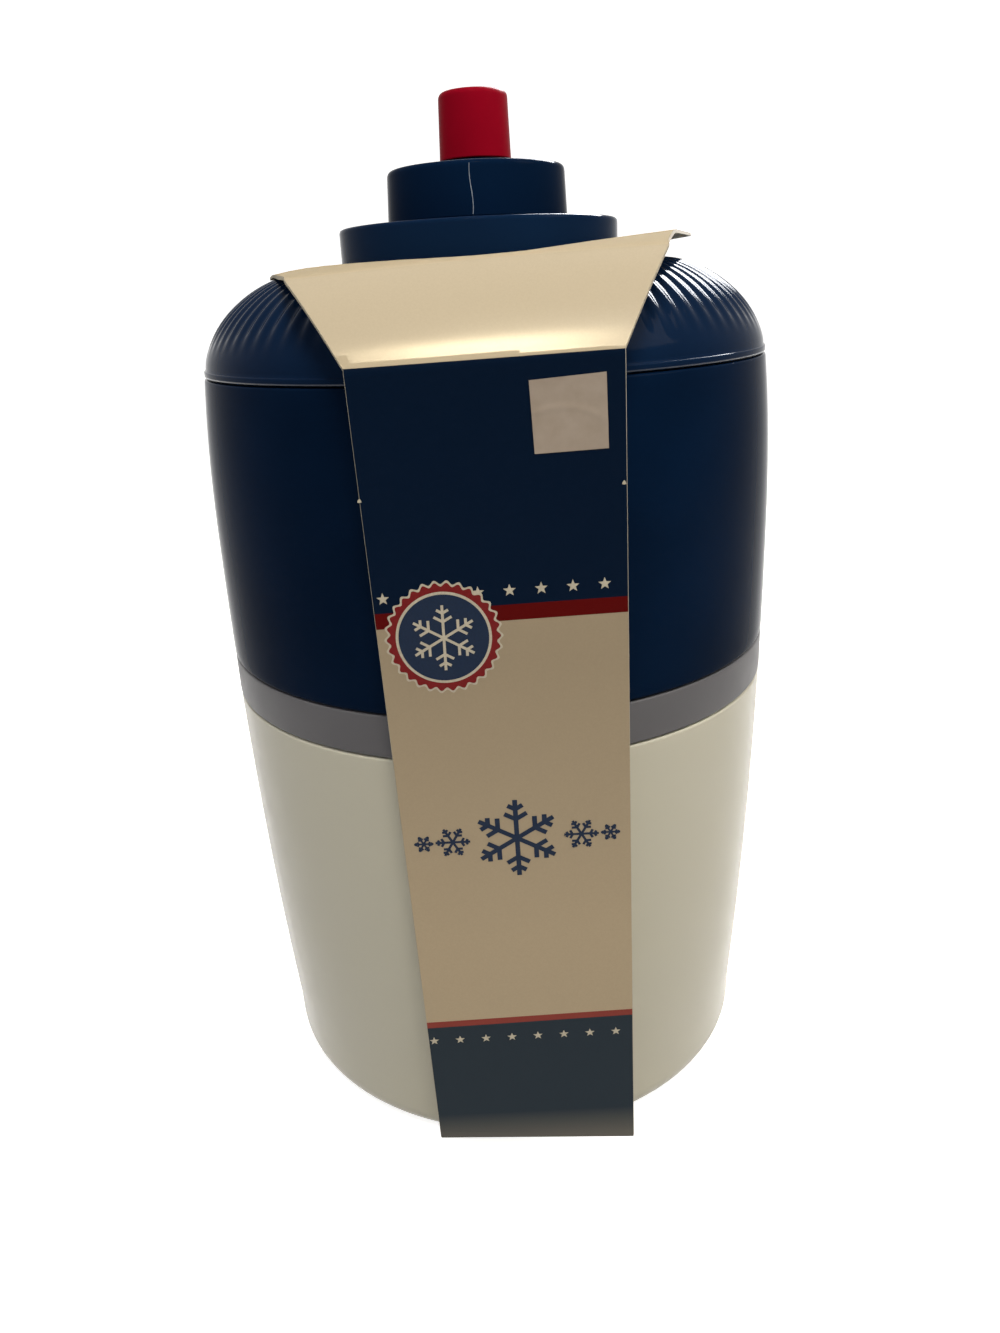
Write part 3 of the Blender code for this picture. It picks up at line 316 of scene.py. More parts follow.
# Corner points (radius, height, fillet) turned into a path with rounded corners
def softCorners(points, steps=4):
    corners = [(*point, 0.0) if len(point) == 2 else point for point in points]
    path = []
    for index, (radius, height, fillet) in enumerate(corners):
        here = Vector((radius, height))
        if not fillet:
            path.append(tuple(here))
            continue
        before = Vector(corners[index - 1][:2]) - here
        after = Vector(corners[(index + 1) % len(corners)][:2]) - here
        reach = min(fillet, before.length * 0.48, after.length * 0.48)
        start, end = here + before.normalized() * reach, here + after.normalized() * reach
        path += [tuple(alongCorner(start, here, end, step / steps)) for step in range(steps + 1)]
    return path


# Turns a path about the crank's axis. A path that starts on the axis ends there too, any other is closed.
def turnMesh(path, steps=160, shift=(0.0, 0.0)):
    bm = bmesh.new()
    rings = []
    for radius, height in path:
        count = 1 if radius < 0.001 else steps
        angles = [2 * pi * index / steps for index in range(count)]
        rings.append([bm.verts.new((shift[0] * mm + radius * mm * cos(angle),
                                    shift[1] * mm + radius * mm * sin(angle), height * mm))
                      for angle in angles])
    for upper, lower in zip(rings, rings[1:] + (rings[:1] if len(rings[0]) > 1 else [])):
        for index in range(steps):
            following = (index + 1) % steps
            corners = (upper[index % len(upper)], lower[index % len(lower)],
                       lower[following % len(lower)], upper[following % len(upper)])
            distinct = list(dict.fromkeys(corners))
            if len(distinct) > 2:
                bm.faces.new(distinct)
    return meshFrom(bm)


def rodMesh(radius, top, bottom, steps=32, shift=(0.0, 0.0)):
    return turnMesh([(0.0, top), (radius, top), (radius, bottom), (0.0, bottom)], steps, shift)


def boxMesh(low, high):
    bm = bmesh.new()
    bmesh.ops.create_cube(bm, size=1.0)
    size = (Vector(high) - Vector(low)) * mm
    middle = (Vector(high) + Vector(low)) / 2 * mm
    bmesh.ops.transform(bm, matrix=Matrix.Translation(middle) @ Matrix.Diagonal((*size, 1.0)), verts=bm.verts)
    return meshFrom(bm)


# Copies of one mesh at several places, joined into one
def placedMesh(mesh, places):
    bm = bmesh.new()
    for place in places:
        start = len(bm.verts)
        bm.from_mesh(mesh)
        bm.verts.ensure_lookup_table()
        bmesh.ops.transform(bm, matrix=place, verts=bm.verts[start:])
    return meshFrom(bm)


def addModifier(item, name, kind, **settings):
    modifier = item.modifiers.new(name, kind)
    for key, value in settings.items():
        setattr(modifier, key, value)


# Adds meshes, then cuts others away, then rounds what is sharper than the limit
def carvedMesh(base, added=(), cut=(), bevel=0.0):
    item = addObject("carved", base)
    tools = []
    for operation, mesh in [("UNION", mesh) for mesh in added] + [("DIFFERENCE", mesh) for mesh in cut]:
        tools.append(addObject("tool", mesh))
        addModifier(item, "carve", "BOOLEAN", operation=operation, solver="EXACT", object=tools[-1])
    if bevel:
        addModifier(item, "round", "BEVEL", width=bevel * mm, segments=3, limit_method="ANGLE",
                    angle_limit=radians(50), use_clamp_overlap=True)
    return appliedMesh(item, tools)


def makePiece(name, mesh, materials, body, replaced=()):
    mesh.name = name
    mesh.shade_smooth()
    mesh.set_sharp_from_angle(angle=sharpAngle)
    for index, material in enumerate(materials):
        if index < len(mesh.materials):
            mesh.materials[index] = material
        else:
            mesh.materials.append(material)
    piece = addObject(name, mesh)
    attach(piece, body)
    if replaced:
        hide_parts(*replaced)
    return piece


def turnsOf(count, radius, first=0.0):
    return [Matrix.Rotation(first + 2 * pi * index / count, 4, "Z")
            @ Matrix.Translation((radius * mm, 0.0, 0.0)) for index in range(count)]


# The barrel's outer radius at a height
barrel = {"widest": 63.2, "widestHeight": 127.0, "foot": 57.8, "top": 61.4, "topHeight": 168.6,
          "wall": 2.3, "lowerCurve": 2.1, "upperCurve": 2.5}


def barrelRadius(height):
    if height < barrel["widestHeight"]:
        share = (barrel["widestHeight"] - height) / barrel["widestHeight"]
        return barrel["widest"] - (barrel["widest"] - barrel["foot"]) * share ** barrel["lowerCurve"]
    share = (height - barrel["widestHeight"]) / (barrel["topHeight"] - barrel["widestHeight"])
    return barrel["widest"] - (barrel["widest"] - barrel["top"]) * share ** barrel["upperCurve"]


def barrelSide(top, bottom, count, inset=0.0):
    heights = [top + (bottom - top) * index / count for index in range(count + 1)]
    return [(barrelRadius(height) - inset, height) for height in heights]


cup = {"top": 98.4, "bottom": 0.8, "footRound": 8.0, "floor": 4.9, "underside": 2.3, "padPocket": 47.95,
       "pad": 47.5, "padTop": 2.0, "rim": 0.7}


def makeCup(top, bottom, footRound, floor, underside, padPocket, pad, padTop, rim):
    foot = bottom + footRound
    side = barrelSide(top, foot, 28)
    inner = barrelSide(top, floor + footRound, 14, barrel["wall"])[::-1]
    path = [(0.0, floor), (inner[0][0], floor, footRound), *inner[:-1], (*inner[-1], rim), (*side[0], rim),
            *side[1:-1], (barrelRadius(foot), bottom, footRound * 1.1), (padPocket, bottom, 0.3),
            (padPocket, underside), (0.0, underside)]
    makePiece("catchCup", turnMesh(softCorners(path, 8)), [whiteAbs], "cup", ["catch_cup"])
    padPath = [(0.0, padTop), (pad, padTop, 0.4), (pad, 0.0, 0.5), (0.0, 0.0)]
    makePiece("basePad", turnMesh(softCorners(padPath)), [greySilicone], "cup", ["base_pad"])


carrier = {"bottom": 98.7, "top": 107.7, "floorTop": 105.3, "floorBottom": 102.7, "skirtTop": 113.3,
           "spigotFoot": 90.7, "spigot": 60.17, "skirt": 60.32, "bore": 57.97, "edge": 0.55,
           "postCircle": 53.67, "postFirst": radians(30),
           "postHole": (2.15, 107.6, 100.4)}                    # radius, top, bottom
blade = {"start": 8.0, "length": 34.02, "width": 17.0, "thickness": 0.9, "bite": 0.7, "slot": 4.5,
         "tilt": radians(20), "bedLeft": -46.4, "bedRight": -3.6, "bedFront": 8.5, "bedTop": 104.0,
         "bedMargin": 0.6, "reliefBack": 34.0, "depth": 18.6, "play": 0.3, "screwInset": 7.0,
         "screwBack": 11.7, "pilot": 1.6}


def bladeFrame():
    edge = Vector((-blade["start"] - blade["length"] / 2, 0.0, carrier["floorTop"] + blade["bite"])) * mm
    return Matrix.Translation(edge) @ Matrix.Rotation(-blade["tilt"], 4, "X")


def makeCarrier(bottom, top, floorTop, floorBottom, skirtTop, spigotFoot, spigot, skirt, bore, edge,
                postCircle, postFirst, postHole):
    band = barrelRadius((bottom + top) / 2)
    path = [(0.0, floorTop), (bore, floorTop, 0.8), (bore, skirtTop, 0.4), (skirt, skirtTop, 0.5),
            (skirt, top, 0.3), (band, top, edge), (band, bottom, edge), (spigot, bottom, 0.3),
            (spigot, spigotFoot, 0.6), (bore, spigotFoot, 0.4), (bore, floorBottom, 0.6), (0.0, floorBottom)]
    drop = (blade["width"] + blade["thickness"]) * sin(blade["tilt"])
    back = blade["width"] * cos(blade["tilt"]) + blade["bedMargin"]
    bed = boxMesh((blade["bedLeft"], blade["bedFront"], floorTop + blade["bite"] - drop),
                  (blade["bedRight"], back, blade["bedTop"]))
    half = blade["length"] / 2 + blade["play"]
    relief = boxMesh((-half, -blade["slot"], -blade["depth"]), (half, blade["reliefBack"], blade["play"]))
    relief.transform(bladeFrame())
    reach = blade["length"] / 2 - blade["screwInset"]
    screws = [Matrix.Translation((side * reach * mm, blade["screwBack"] * mm, 0.0)) for side in (-1, 1)]
    pilots = placedMesh(rodMesh(blade["pilot"], 5.0, -blade["depth"]), [bladeFrame() @ spot for spot in screws])
    spots = turnsOf(3, postCircle, postFirst)
    holes = placedMesh(rodMesh(*postHole), spots)
    mesh = carvedMesh(turnMesh(softCorners(path)), [bed], [relief, pilots, holes])
    makePiece("bladeCarrier", mesh, [greyAbs], "housing", ["blade_carrier"])


housing = {"top": 168.6, "bottom": 108.0, "deckTop": 160.0, "deckBottom": 157.6, "deckBore": 48.27,
           "rim": 0.6, "postRadius": 3.7, "postTop": 124.6, "postGap": 0.3, "webBottom": 113.6,
           "webHalf": 1.1, "webReach": 8.2, "pilot": 1.8, "pilotDepth": 11.3}
chamber = {"outer": 47.82, "inner": 46.02, "top": 160.0, "bottom": 105.6}


def makeHousing(top, bottom, deckTop, deckBottom, deckBore, rim, postRadius, postTop, postGap, webBottom,
                webHalf, webReach, pilot, pilotDepth):
    side = barrelSide(top, bottom, 24)
    inner = barrelSide(deckBottom, bottom, 12, barrel["wall"])[::-1]
    path = [(*side[0], rim), *side[1:-1], (*side[-1], rim), (*inner[0], 0.4), *inner[1:-1], (*inner[-1], 0.8),
            (deckBore, deckBottom, 0.5), (deckBore, deckTop, 0.5),
            (barrelRadius(deckTop) - barrel["wall"], deckTop, 0.8),
            (barrelRadius(top) - barrel["wall"], top, 0.5)]
    low = carrier["floorTop"] + postGap
    post = turnMesh(softCorners(
        [(0.0, postTop), (postRadius, postTop, 0.6), (postRadius, low, 0.3), (0.0, low)]), 40)
    web = boxMesh((0.0, -webHalf, webBottom), (webReach, webHalf, postTop))
    bore = rodMesh(pilot, low + pilotDepth, low - 2.0, 24)
    spots = turnsOf(3, carrier["postCircle"], carrier["postFirst"])
    mesh = carvedMesh(turnMesh(softCorners(path)), [placedMesh(web, spots), placedMesh(post, spots)],
                      [placedMesh(bore, spots)])
    makePiece("upperHousing", mesh, [navyAbs], "housing", ["upper_housing"])


def makeChamber(outer, inner, top, bottom):
    ring = softCorners([(outer, top, 0.5), (outer, bottom, 0.3), (inner, bottom, 0.3), (inner, top, 0.7)])
    makePiece("iceChamber", turnMesh(ring), [frostedPs], "housing", ["ice_chamber"])


def clamped(value):
    return max(0.0, min(1.0, value))


def smooth(share):
    return share * share * (3 - 2 * share)


lid = {"rim": 168.9, "top": 188.1, "rimRadius": 60.9, "rimDepth": 1.6, "flat": 40.3, "roundness": 1.62,
       "bead": 0.4, "beadTop": 1.3, "lip": 0.45, "hole": 11.05, "spigot": 58.65, "foot": 161.9, "bore": 56.25,
       "groove": 57.55, "grooveTop": 166.9, "grooveFoot": 163.9,
       "vault": ((56.25, 174.5, 3.0), (48.7, 182.5, 3.0), (43.1, 185.3, 1.0), (11.05, 185.3, 0.3)),
       "seal": ((58.85, 165.9, 0.2), (58.85, 164.9, 0.2), (57.7, 164.2), (57.7, 166.6))}
flutes = {"count": 88, "depth": 0.22, "start": 34.0, "ease": 4.4, "fadeFrom": 0.16, "fadeTo": 0.6}


# Soft ribs on the dome's outer rows, full on the shoulder and gone above the rim
def addFlutes(mesh, path, rows, steps, base, shoulder):
    for row in range(rows):
        radius, height = path[row]
        before, after = path[max(row - 1, 0)], path[row + 1]
        slope = Vector((after[1] - before[1], before[0] - after[0])).normalized()
        outward = -slope if slope.x < 0 or slope.y < 0 else slope
        rise = (height - base) / shoulder - flutes["fadeFrom"]
        fade = clamped(rise / (flutes["fadeTo"] - flutes["fadeFrom"]))
        fade = smooth(fade * min(1.0, (radius - flutes["start"]) / flutes["ease"]))
        for vert in mesh.vertices[row * steps:(row + 1) * steps]:
            angle = atan2(vert.co.y, vert.co.x)
            lift = flutes["depth"] * mm * fade * cos(flutes["count"] * angle)
            vert.co += lift * Vector((outward.x * cos(angle), outward.x * sin(angle), outward.y))


def makeLid(rim, top, rimRadius, rimDepth, flat, roundness, bead, beadTop, lip, hole, spigot, foot, bore,
            groove, grooveTop, grooveFoot, vault, seal):
    base, shoulder, start = rim + rimDepth, top - rim - rimDepth, flutes["start"]
    rows = [(start + (flat - start) * index / 5, top) for index in range(5)]
    for index in range(27):
        angle = pi / 2 * (1 - index / 26)
        rows.append((flat + (rimRadius - flat) * cos(angle) ** (2 / roundness),
                     base + shoulder * sin(angle) ** (2 / roundness)))
    path = rows + softCorners([
        (rimRadius + bead, rim + beadTop, 0.3), (rimRadius + bead, rim, 0.4), (spigot, rim),
        (spigot, grooveTop, 0.2), (groove, grooveTop), (groove, grooveFoot), (spigot, grooveFoot, 0.2),
        (spigot, foot, 0.6), (bore, foot, 0.5), *vault, (hole, top, 0.4)])
    steps = flutes["count"] * 10
    mesh = turnMesh(path, steps)
    addFlutes(mesh, path, len(rows), steps, base, shoulder)
    for face in mesh.polygons:
        onRim = rim * mm < face.center.z < (rim + lip) * mm
        face.material_index = int(onRim and face.center.xy.length > rimRadius * mm)
    makePiece("lidDome", mesh, [navyLidAbs, buffedAbs], "lid", ["lid_dome"])
    makePiece("lidSeal", turnMesh(softCorners(seal)), [greySilicone], "lid", ["lid_seal"])


turret = {"top": 196.7, "bottom": 188.4, "radius": 29.9, "edge": 0.9, "wall": 2.4, "tube": 10.6,
          "tubeFoot": 178.6, "bore": 7.6, "pocket": 12.2, "pocketFloor": 195.65}


def makeTurret(top, bottom, radius, edge, wall, tube, tubeFoot, bore, pocket, pocketFloor):
    inner = radius - wall
    ceiling = top - wall
    path = [(pocket, top, 0.2), (radius, top, edge), (radius, bottom, 0.3), (inner, bottom, 0.3),
            (inner, ceiling, 0.5), (tube, ceiling, 0.5), (tube, tubeFoot, 0.4), (bore, tubeFoot, 0.2),
            (bore, pocketFloor), (pocket, pocketFloor)]
    makePiece("bearingTurret", turnMesh(softCorners(path), 128), [navyLidAbs], "lid",
              ["bearing_turret"])


crank = {"reach": 83.0, "bottom": 197.25, "top": 207.65, "hub": 19.3, "draft": 0.5, "edge": 1.0,
         "armBottom": 199.65, "rootWidth": 25.0, "end": 11.8, "wall": 2.2, "bossTop": 217.85, "boss": 10.9,
         "fillet": 3.0, "below": 195.0, "hubKeep": 18.2, "endKeep": 7.4, "ribs": 4, "ribFirst": 31.3,
         "ribPitch": 12.0, "ribHalf": 0.73, "drive": 3.6, "driveTop": 203.15,
         "well": (5.05, 210.0, 204.25), "screwWay": (2.1, 207.0, 198.0),     # radius, top, bottom
         "pinHole": (3.1, 220.0, 208.55)}


# The arm from above: two arcs joined by straight flanks, drawn inset by a wall for the channel below
def armMesh(inset, bottom, top, bevel=0.0):
    root, end = crank["rootWidth"] / 2 - inset, crank["end"] - inset
    slope = asin((root - end) / crank["reach"])
    arcs = ((0.0, root, pi + slope, pi - 2 * slope),
            (crank["reach"], end, -slope, pi + 2 * slope))
    bm = bmesh.new()
    outline = []
    for centre, radius, start, sweep in arcs:
        for index in range(37):
            angle = start + sweep * index / 36
            outline.append(bm.verts.new((radius * mm * cos(angle),
                                         (centre + radius * sin(angle)) * mm, bottom * mm)))
    lifted = bmesh.ops.extrude_face_region(bm, geom=[bm.faces.new(outline)])
    raised = [item for item in lifted["geom"] if isinstance(item, bmesh.types.BMVert)]
    bmesh.ops.translate(bm, verts=raised, vec=(0.0, 0.0, (top - bottom) * mm))
    bmesh.ops.recalc_face_normals(bm, faces=bm.faces)
    return carvedMesh(meshFrom(bm), bevel=bevel) if bevel else meshFrom(bm)


def makeCrank(reach, bottom, top, hub, draft, edge, armBottom, rootWidth, end, wall, bossTop, boss, fillet,
              below, hubKeep, endKeep, ribs, ribFirst, ribPitch, ribHalf, drive, driveTop, well, screwWay,
              pinHole):
    spot = (0.0, reach)
    hubMesh = turnMesh(softCorners(
        [(0.0, top), (hub - draft, top, edge * 1.3), (hub, bottom, 0.4), (0.0, bottom)], 6), 128)
    flare = [(boss + fillet * (1 + cos(radians(angle))),
              top + fillet * (1 + sin(radians(angle)))) for angle in range(180, 216, 5)]
    bossMesh = turnMesh(softCorners([(0.0, bossTop), (boss, bossTop, 0.5)]) + flare
                        + [(end - 1.0, top - 1.0), (0.0, top - 1.0)], 96, spot)
    channel = armMesh(wall, armBottom - wall, top - wall)
    bar = boxMesh((-rootWidth, -ribHalf, below), (rootWidth, ribHalf, top))
    bars = placedMesh(bar, [Matrix.Translation((0.0, (ribFirst + ribPitch * index) * mm, 0.0))
                            for index in range(ribs)])
    channel = carvedMesh(channel, cut=[
        rodMesh(hubKeep, top, below, 96), rodMesh(endKeep, top, below, 64, spot), bars])
    square = boxMesh((-drive, -drive, below), (drive, drive, driveTop))
    mesh = carvedMesh(armMesh(0.0, armBottom, top, edge), [hubMesh, bossMesh], [
        channel, square, rodMesh(*well, 64), rodMesh(*screwWay), rodMesh(*pinHole, 48, spot)])
    makePiece("crankArm", mesh, [navyAbs], "crank", ["crank_arm"])


knob = {"bottom": 218.15, "top": 235.55, "lower": 10.2, "upper": 9.7, "crown": 2.6, "well": 5.7,
        "bore": 3.1, "shelf": 230.45, "cap": 5.6, "capBottom": 232.85, "dome": 0.5}


def makeKnob(bottom, top, lower, upper, crown, well, bore, shelf, cap, capBottom, dome):
    spot = (0.0, crank["reach"])
    path = [(well, top, 0.15), (upper, top, crown * 1.15), (lower, bottom, 0.5), (bore, bottom, 0.2),
            (bore, shelf), (well, shelf)]
    makePiece("knob", turnMesh(softCorners(path, 8), 96, spot), [crimsonAbs], "knob", ["knob"])
    lens = [(cap * share, top + dome * (1 - share * share)) for share in (0.0, 0.25, 0.5, 0.75)]
    lens += softCorners([(cap, top, 0.15), (cap, capBottom), (0.0, capBottom)])
    makePiece("knobCap", turnMesh(lens, 96, spot), [crimsonAbs], "knob", ["knob_cap"])


pusher = {"rim": 45.22, "inner": 43.62, "bottom": 111.2, "top": 113.6, "lip": 117.6, "hub": 8.4,
          "hubTop": 123.1, "ribs": 6, "ribStart": 13.05, "ribEnd": 44.4, "ribHalf": 0.8, "ribBottom": 112.4,
          "ribTop": 115.6, "bore": 3.6}
spring = {"low": 114.6, "high": 170.9, "radius": 11.2, "wire": 1.4, "turns": 7, "points": 28,
          "squashed": 0.38}


def springMesh():
    curve = bpy.data.curves.new("springPath", "CURVE")
    curve.dimensions = "3D"
    curve.bevel_depth = spring["wire"] / 2 * mm
    curve.bevel_resolution = 4
    curve.use_fill_caps = True
    spline = curve.splines.new("POLY")
    count = spring["turns"] * spring["points"]
    spline.points.add(count)
    for index, point in enumerate(spline.points):
        share = index / count
        angle = 2 * pi * spring["turns"] * share
        point.co = (spring["radius"] * mm * cos(angle), spring["radius"] * mm * sin(angle),
                    (spring["low"] + (spring["high"] - spring["low"]) * share) * mm, 1.0)
    return appliedMesh(addObject("springPath", curve))


def makePusher(rim, inner, bottom, top, lip, hub, hubTop, ribs, ribStart, ribEnd, ribHalf, ribBottom, ribTop,
               bore):
    path = [(0.0, hubTop), (hub, hubTop, 0.5), (hub, top, 0.5), (inner, top, 0.6), (inner, lip, 0.3),
            (rim, lip, 0.4), (rim, bottom, 0.5), (0.0, bottom)]
    rib = boxMesh((ribStart, -ribHalf, ribBottom),
                  (ribEnd, ribHalf, ribTop))
    square = boxMesh((-bore, -bore, 108.0), (bore, bore, 130.0))
    mesh = carvedMesh(turnMesh(softCorners(path), 128), [placedMesh(rib, turnsOf(ribs, 0.0))], [square])
    makePiece("pusherDisc", mesh, [whitePp], "pusher", ["pusher_disc"])
    piece = makePiece("pusherSpring", springMesh(), [platedSteel], "crank", ["pusher_spring"])
    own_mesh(piece)


sleeve = {"front": 64.0, "thickness": 0.6, "bottom": 7.0, "crease": 172.7, "lean": 13.4, "top": 188.9,
          "bottomHalf": 21.5, "creaseHalf": 23.4, "shoulderHalf": 33.4, "topHalf": 46.2, "askew": 3.5,
          "shift": -0.6, "bend": 1.1, "belly": 0.9, "hole": 31.1, "creaseTilt": 0.03, "bottomTilt": -0.05,
          "edge": 0.16, "columns": 24, "varnishFrom": 51.2}
# How far the flap and the top panel lift: along the upper crease, at the left wing and at the right one
wing = {"slope": 0.0433, "bow": 0.00047, "rise": -0.45, "nearFrom": 34.0, "leftDroop": 1.9,
        "droopFrom": 36.0, "droopTo": 52.0, "droopSide": 20.0, "rightCurl": 2.5, "curlFrom": 8.0,
        "curlSpan": 37.0, "curlReach": 16.0}


def sleeveBetween(first, second, share):
    return sleeve[first] + (sleeve[second] - sleeve[first]) * share


# One side of the card as (distance from the axis, height, half width, middle), lower edge to the top's middle
def sleeveRows():
    front, crease, top, bend = [sleeve[key] for key in ("front", "crease", "top", "bend")]
    back = front - sleeve["lean"]
    rows = []
    for index in range(25):
        share = index / 24 * (1 - bend / (crease - sleeve["bottom"]))
        rows.append((front, sleeveBetween("bottom", "crease", share),
                     sleeveBetween("bottomHalf", "creaseHalf", share), sleeve["askew"] * (1 - share)))

    def addFlapRow(point, risen):
        half = sleeveBetween("creaseHalf", "shoulderHalf", risen)
        rows.append((point.x, point.y, half, sleeve["shift"] * risen))

    low, high = Vector((front, crease)), Vector((back, top))
    lean = Vector((back - front, top - crease)).normalized()
    for corner, before, after in ((low, Vector((0.0, -1.0)), lean), (high, -lean, Vector((-1.0, 0.0)))):
        start, end = corner + before * bend, corner + after * bend
        for step in range(5):
            point = alongCorner(start, corner, end, step / 4)
            addFlapRow(point, max(0.0, (point.y - crease) / (top - crease)))
        if corner is low:
            for share in [step / 8 for step in range(1, 8)]:
                bulge = Vector((lean.y, -lean.x)) * sleeve["belly"] * sin(pi * share)
                addFlapRow(low.lerp(high, share) + bulge, share)
    for share in [step / 16 for step in range(1, 17)]:
        half = sleeveBetween("shoulderHalf", "topHalf", share)
        rows.append(((back - bend) * (1 - share), top, half, sleeve["shift"] * (1 - share)))
    return rows


# The upper crease slopes down to the left, where the wing droops over the lid; the right wing curls up
def cardLift(across, out, height):
    back = sleeve["front"] - sleeve["lean"]
    share = (height - sleeve["crease"]) / (sleeve["top"] - sleeve["crease"])
    near = clamped((abs(out) - wing["nearFrom"]) / (back - wing["nearFrom"])) ** 2
    slope = wing["slope"] * across - wing["bow"] * across ** 2
    if across < 0:
        away = (hypot(across, out) - wing["droopFrom"]) / (wing["droopTo"] - wing["droopFrom"])
        droop = wing["leftDroop"] * smooth(clamped(away)) * smooth(clamped(-across / wing["droopSide"]))
        lift = slope * near - droop * (1 - near)
    else:
        away = clamped((back - abs(out)) / wing["curlReach"])
        side = max(0.0, across - wing["curlFrom"]) / wing["curlSpan"]
        lift = slope + wing["rightCurl"] * side * sin(pi / 2 * away)
    return across * sleeve["creaseTilt"] * (1 - share) + (lift + wing["rise"] * near) * share


def cornersOf(mesh, slotIndex):
    return {vert for face in mesh.polygons if face.material_index == slotIndex for vert in face.vertices}


def makeSleeve():
    layers = [coatedCard, paleBoard, rawCardEdge]           # front, back and cut edge
    bm = bmesh.new()
    rows = sleeveRows()
    lines = []
    for out, height, half, middle in rows + [(-row[0], *row[1:]) for row in reversed(rows[:-1])]:
        share = (height - sleeve["bottom"]) / (sleeve["crease"] - sleeve["bottom"])
        line = []
        for column in range(sleeve["columns"] + 1):
            across = half * (2 * column / sleeve["columns"] - 1)
            tilt = across * sleeveBetween("bottomTilt", "creaseTilt", share)
            if height > sleeve["crease"]:
                tilt = cardLift(across, out, height)
            line.append(bm.verts.new(((middle + across) * mm, -out * mm, (height + tilt) * mm)))
        lines.append(line)
    fillGrid(bm, lines)
    sheet = addObject("sleeveSheet", meshFrom(bm))
    hole = rodMesh(sleeve["hole"], 195.0, 185.0, 128)
    for material in layers:
        sheet.data.materials.append(material)
        hole.materials.append(material)
    addModifier(sheet, "card", "SOLIDIFY", thickness=sleeve["thickness"] * mm, offset=1.0,
                use_even_offset=True, material_offset=1, material_offset_rim=2)
    mesh = appliedMesh(sheet)
    # the front layer is cut a little narrower, so the raw edge shows as a pale line from the front
    for index in cornersOf(mesh, 0) & cornersOf(mesh, 2):
        spot = mesh.vertices[index].co
        spot.x -= copysign(sleeve["edge"] * mm, spot.x)
    for face in hole.polygons:
        face.material_index = 2
    mesh = carvedMesh(mesh, cut=[hole])
    layers += [varnishedCard, mattCard]
    for material in layers[3:]:
        mesh.materials.append(material)
    for face in mesh.polygons:
        if face.material_index == 0 and face.center.z / mm > sleeve["crease"] + sleeve["bend"]:
            face.material_index = 3 if abs(face.center.y / mm) > sleeve["varnishFrom"] else 4
    makePiece("cardSleeve", mesh, layers, "lid", ["card_sleeve"])


# Flat shapes that lie on the card's front, drawn as outlines in card millimetres
def roundOutline(steps, reachAt, first=0.0):
    turns = [first + 2 * pi * index / steps for index in range(steps)]
    return [(reachAt(index, turn) * cos(turn), reachAt(index, turn) * sin(turn))
            for index, turn in enumerate(turns)]


def starOutline(radius, points=5, waist=0.42):
    return roundOutline(points * 2, lambda index, turn: radius * (waist if index % 2 else 1.0), pi / 2)


def discOutline(radius, scallops=0, depth=0.0, steps=160):
    return roundOutline(steps, lambda index, turn: radius + depth * cos(scallops * turn))


# Three bars crossed in six arms, with two pairs of barbs on each arm. Strokes that cross differ in level.
def snowflakeStrokes(radius):
    strokes = []
    for arm in range(6):
        turn = Matrix.Rotation(pi / 3 * arm, 2)
        if arm < 3:
            strokes.append((turn @ Vector((0.0, -radius)), turn @ Vector((0.0, radius)), arm))
        for level, barb in ((0.5, 0.3), (0.76, 0.2)):
            foot = Vector((0.0, radius * level))
            for side in (-1, 1):
                tip = foot + Vector((side * radius * barb * 0.87, radius * barb * 0.5))
                strokes.append((turn @ foot, turn @ tip, 3 if side < 0 else 4))
    return strokes


# Depth of what lies that far in front of the card
def inFront(lift):
    return -(sleeve["front"] + sleeve["thickness"] + lift) * mm


artwork = {"ink": 0.03, "tilt": 0.022, "stars": 8, "upperStars": (-20.1, 19.5, 132.75, 133.75),
           "upperStar": 1.2, "lowerStars": (-17.6, 21.0, 34.75, 35.15), "lowerStar": 1.05,
           "rosette": (-9.7, 125.0), "rosetteRadius": 10.0, "rosetteBorder": 0.45, "scallops": 30,
           "scallopDepth": 0.35, "flake": (1.9, 83.0), "flakeRadius": 8.4, "flakeStroke": 0.95,
           "smallFlakes": ((12.6, 3.4, 0.5), (18.3, 1.9, 0.4)),         # distance, radius, stroke
           "nicks": ((-22.6, 150.5), (23.0, 151.5)), "nick": 0.45}


def addShape(bm, outline, middle, layer, slotIndex, tilt=0.0):
    turn = Matrix.Rotation(tilt, 2)
    spots = [turn @ Vector(point) for point in outline]
    face = bm.faces.new([bm.verts.new(((middle[0] + spot.x) * mm, inFront(artwork["ink"] * layer),
                                       (middle[1] + spot.y) * mm)) for spot in spots])
    face.normal_update()
    if face.normal.y > 0:
        face.normal_flip()
    face.material_index = slotIndex


def addSnowflake(bm, radius, width, middle, layer, slotIndex, tilt=0.0):
    for start, end, level in snowflakeStrokes(radius):
        along = (end - start).normalized()
        side = Vector((-along.y, along.x)) * width / 2
        addShape(bm, (start - side, end - side, end + side, start + side), middle, layer + level * 0.2,
                 slotIndex, tilt)


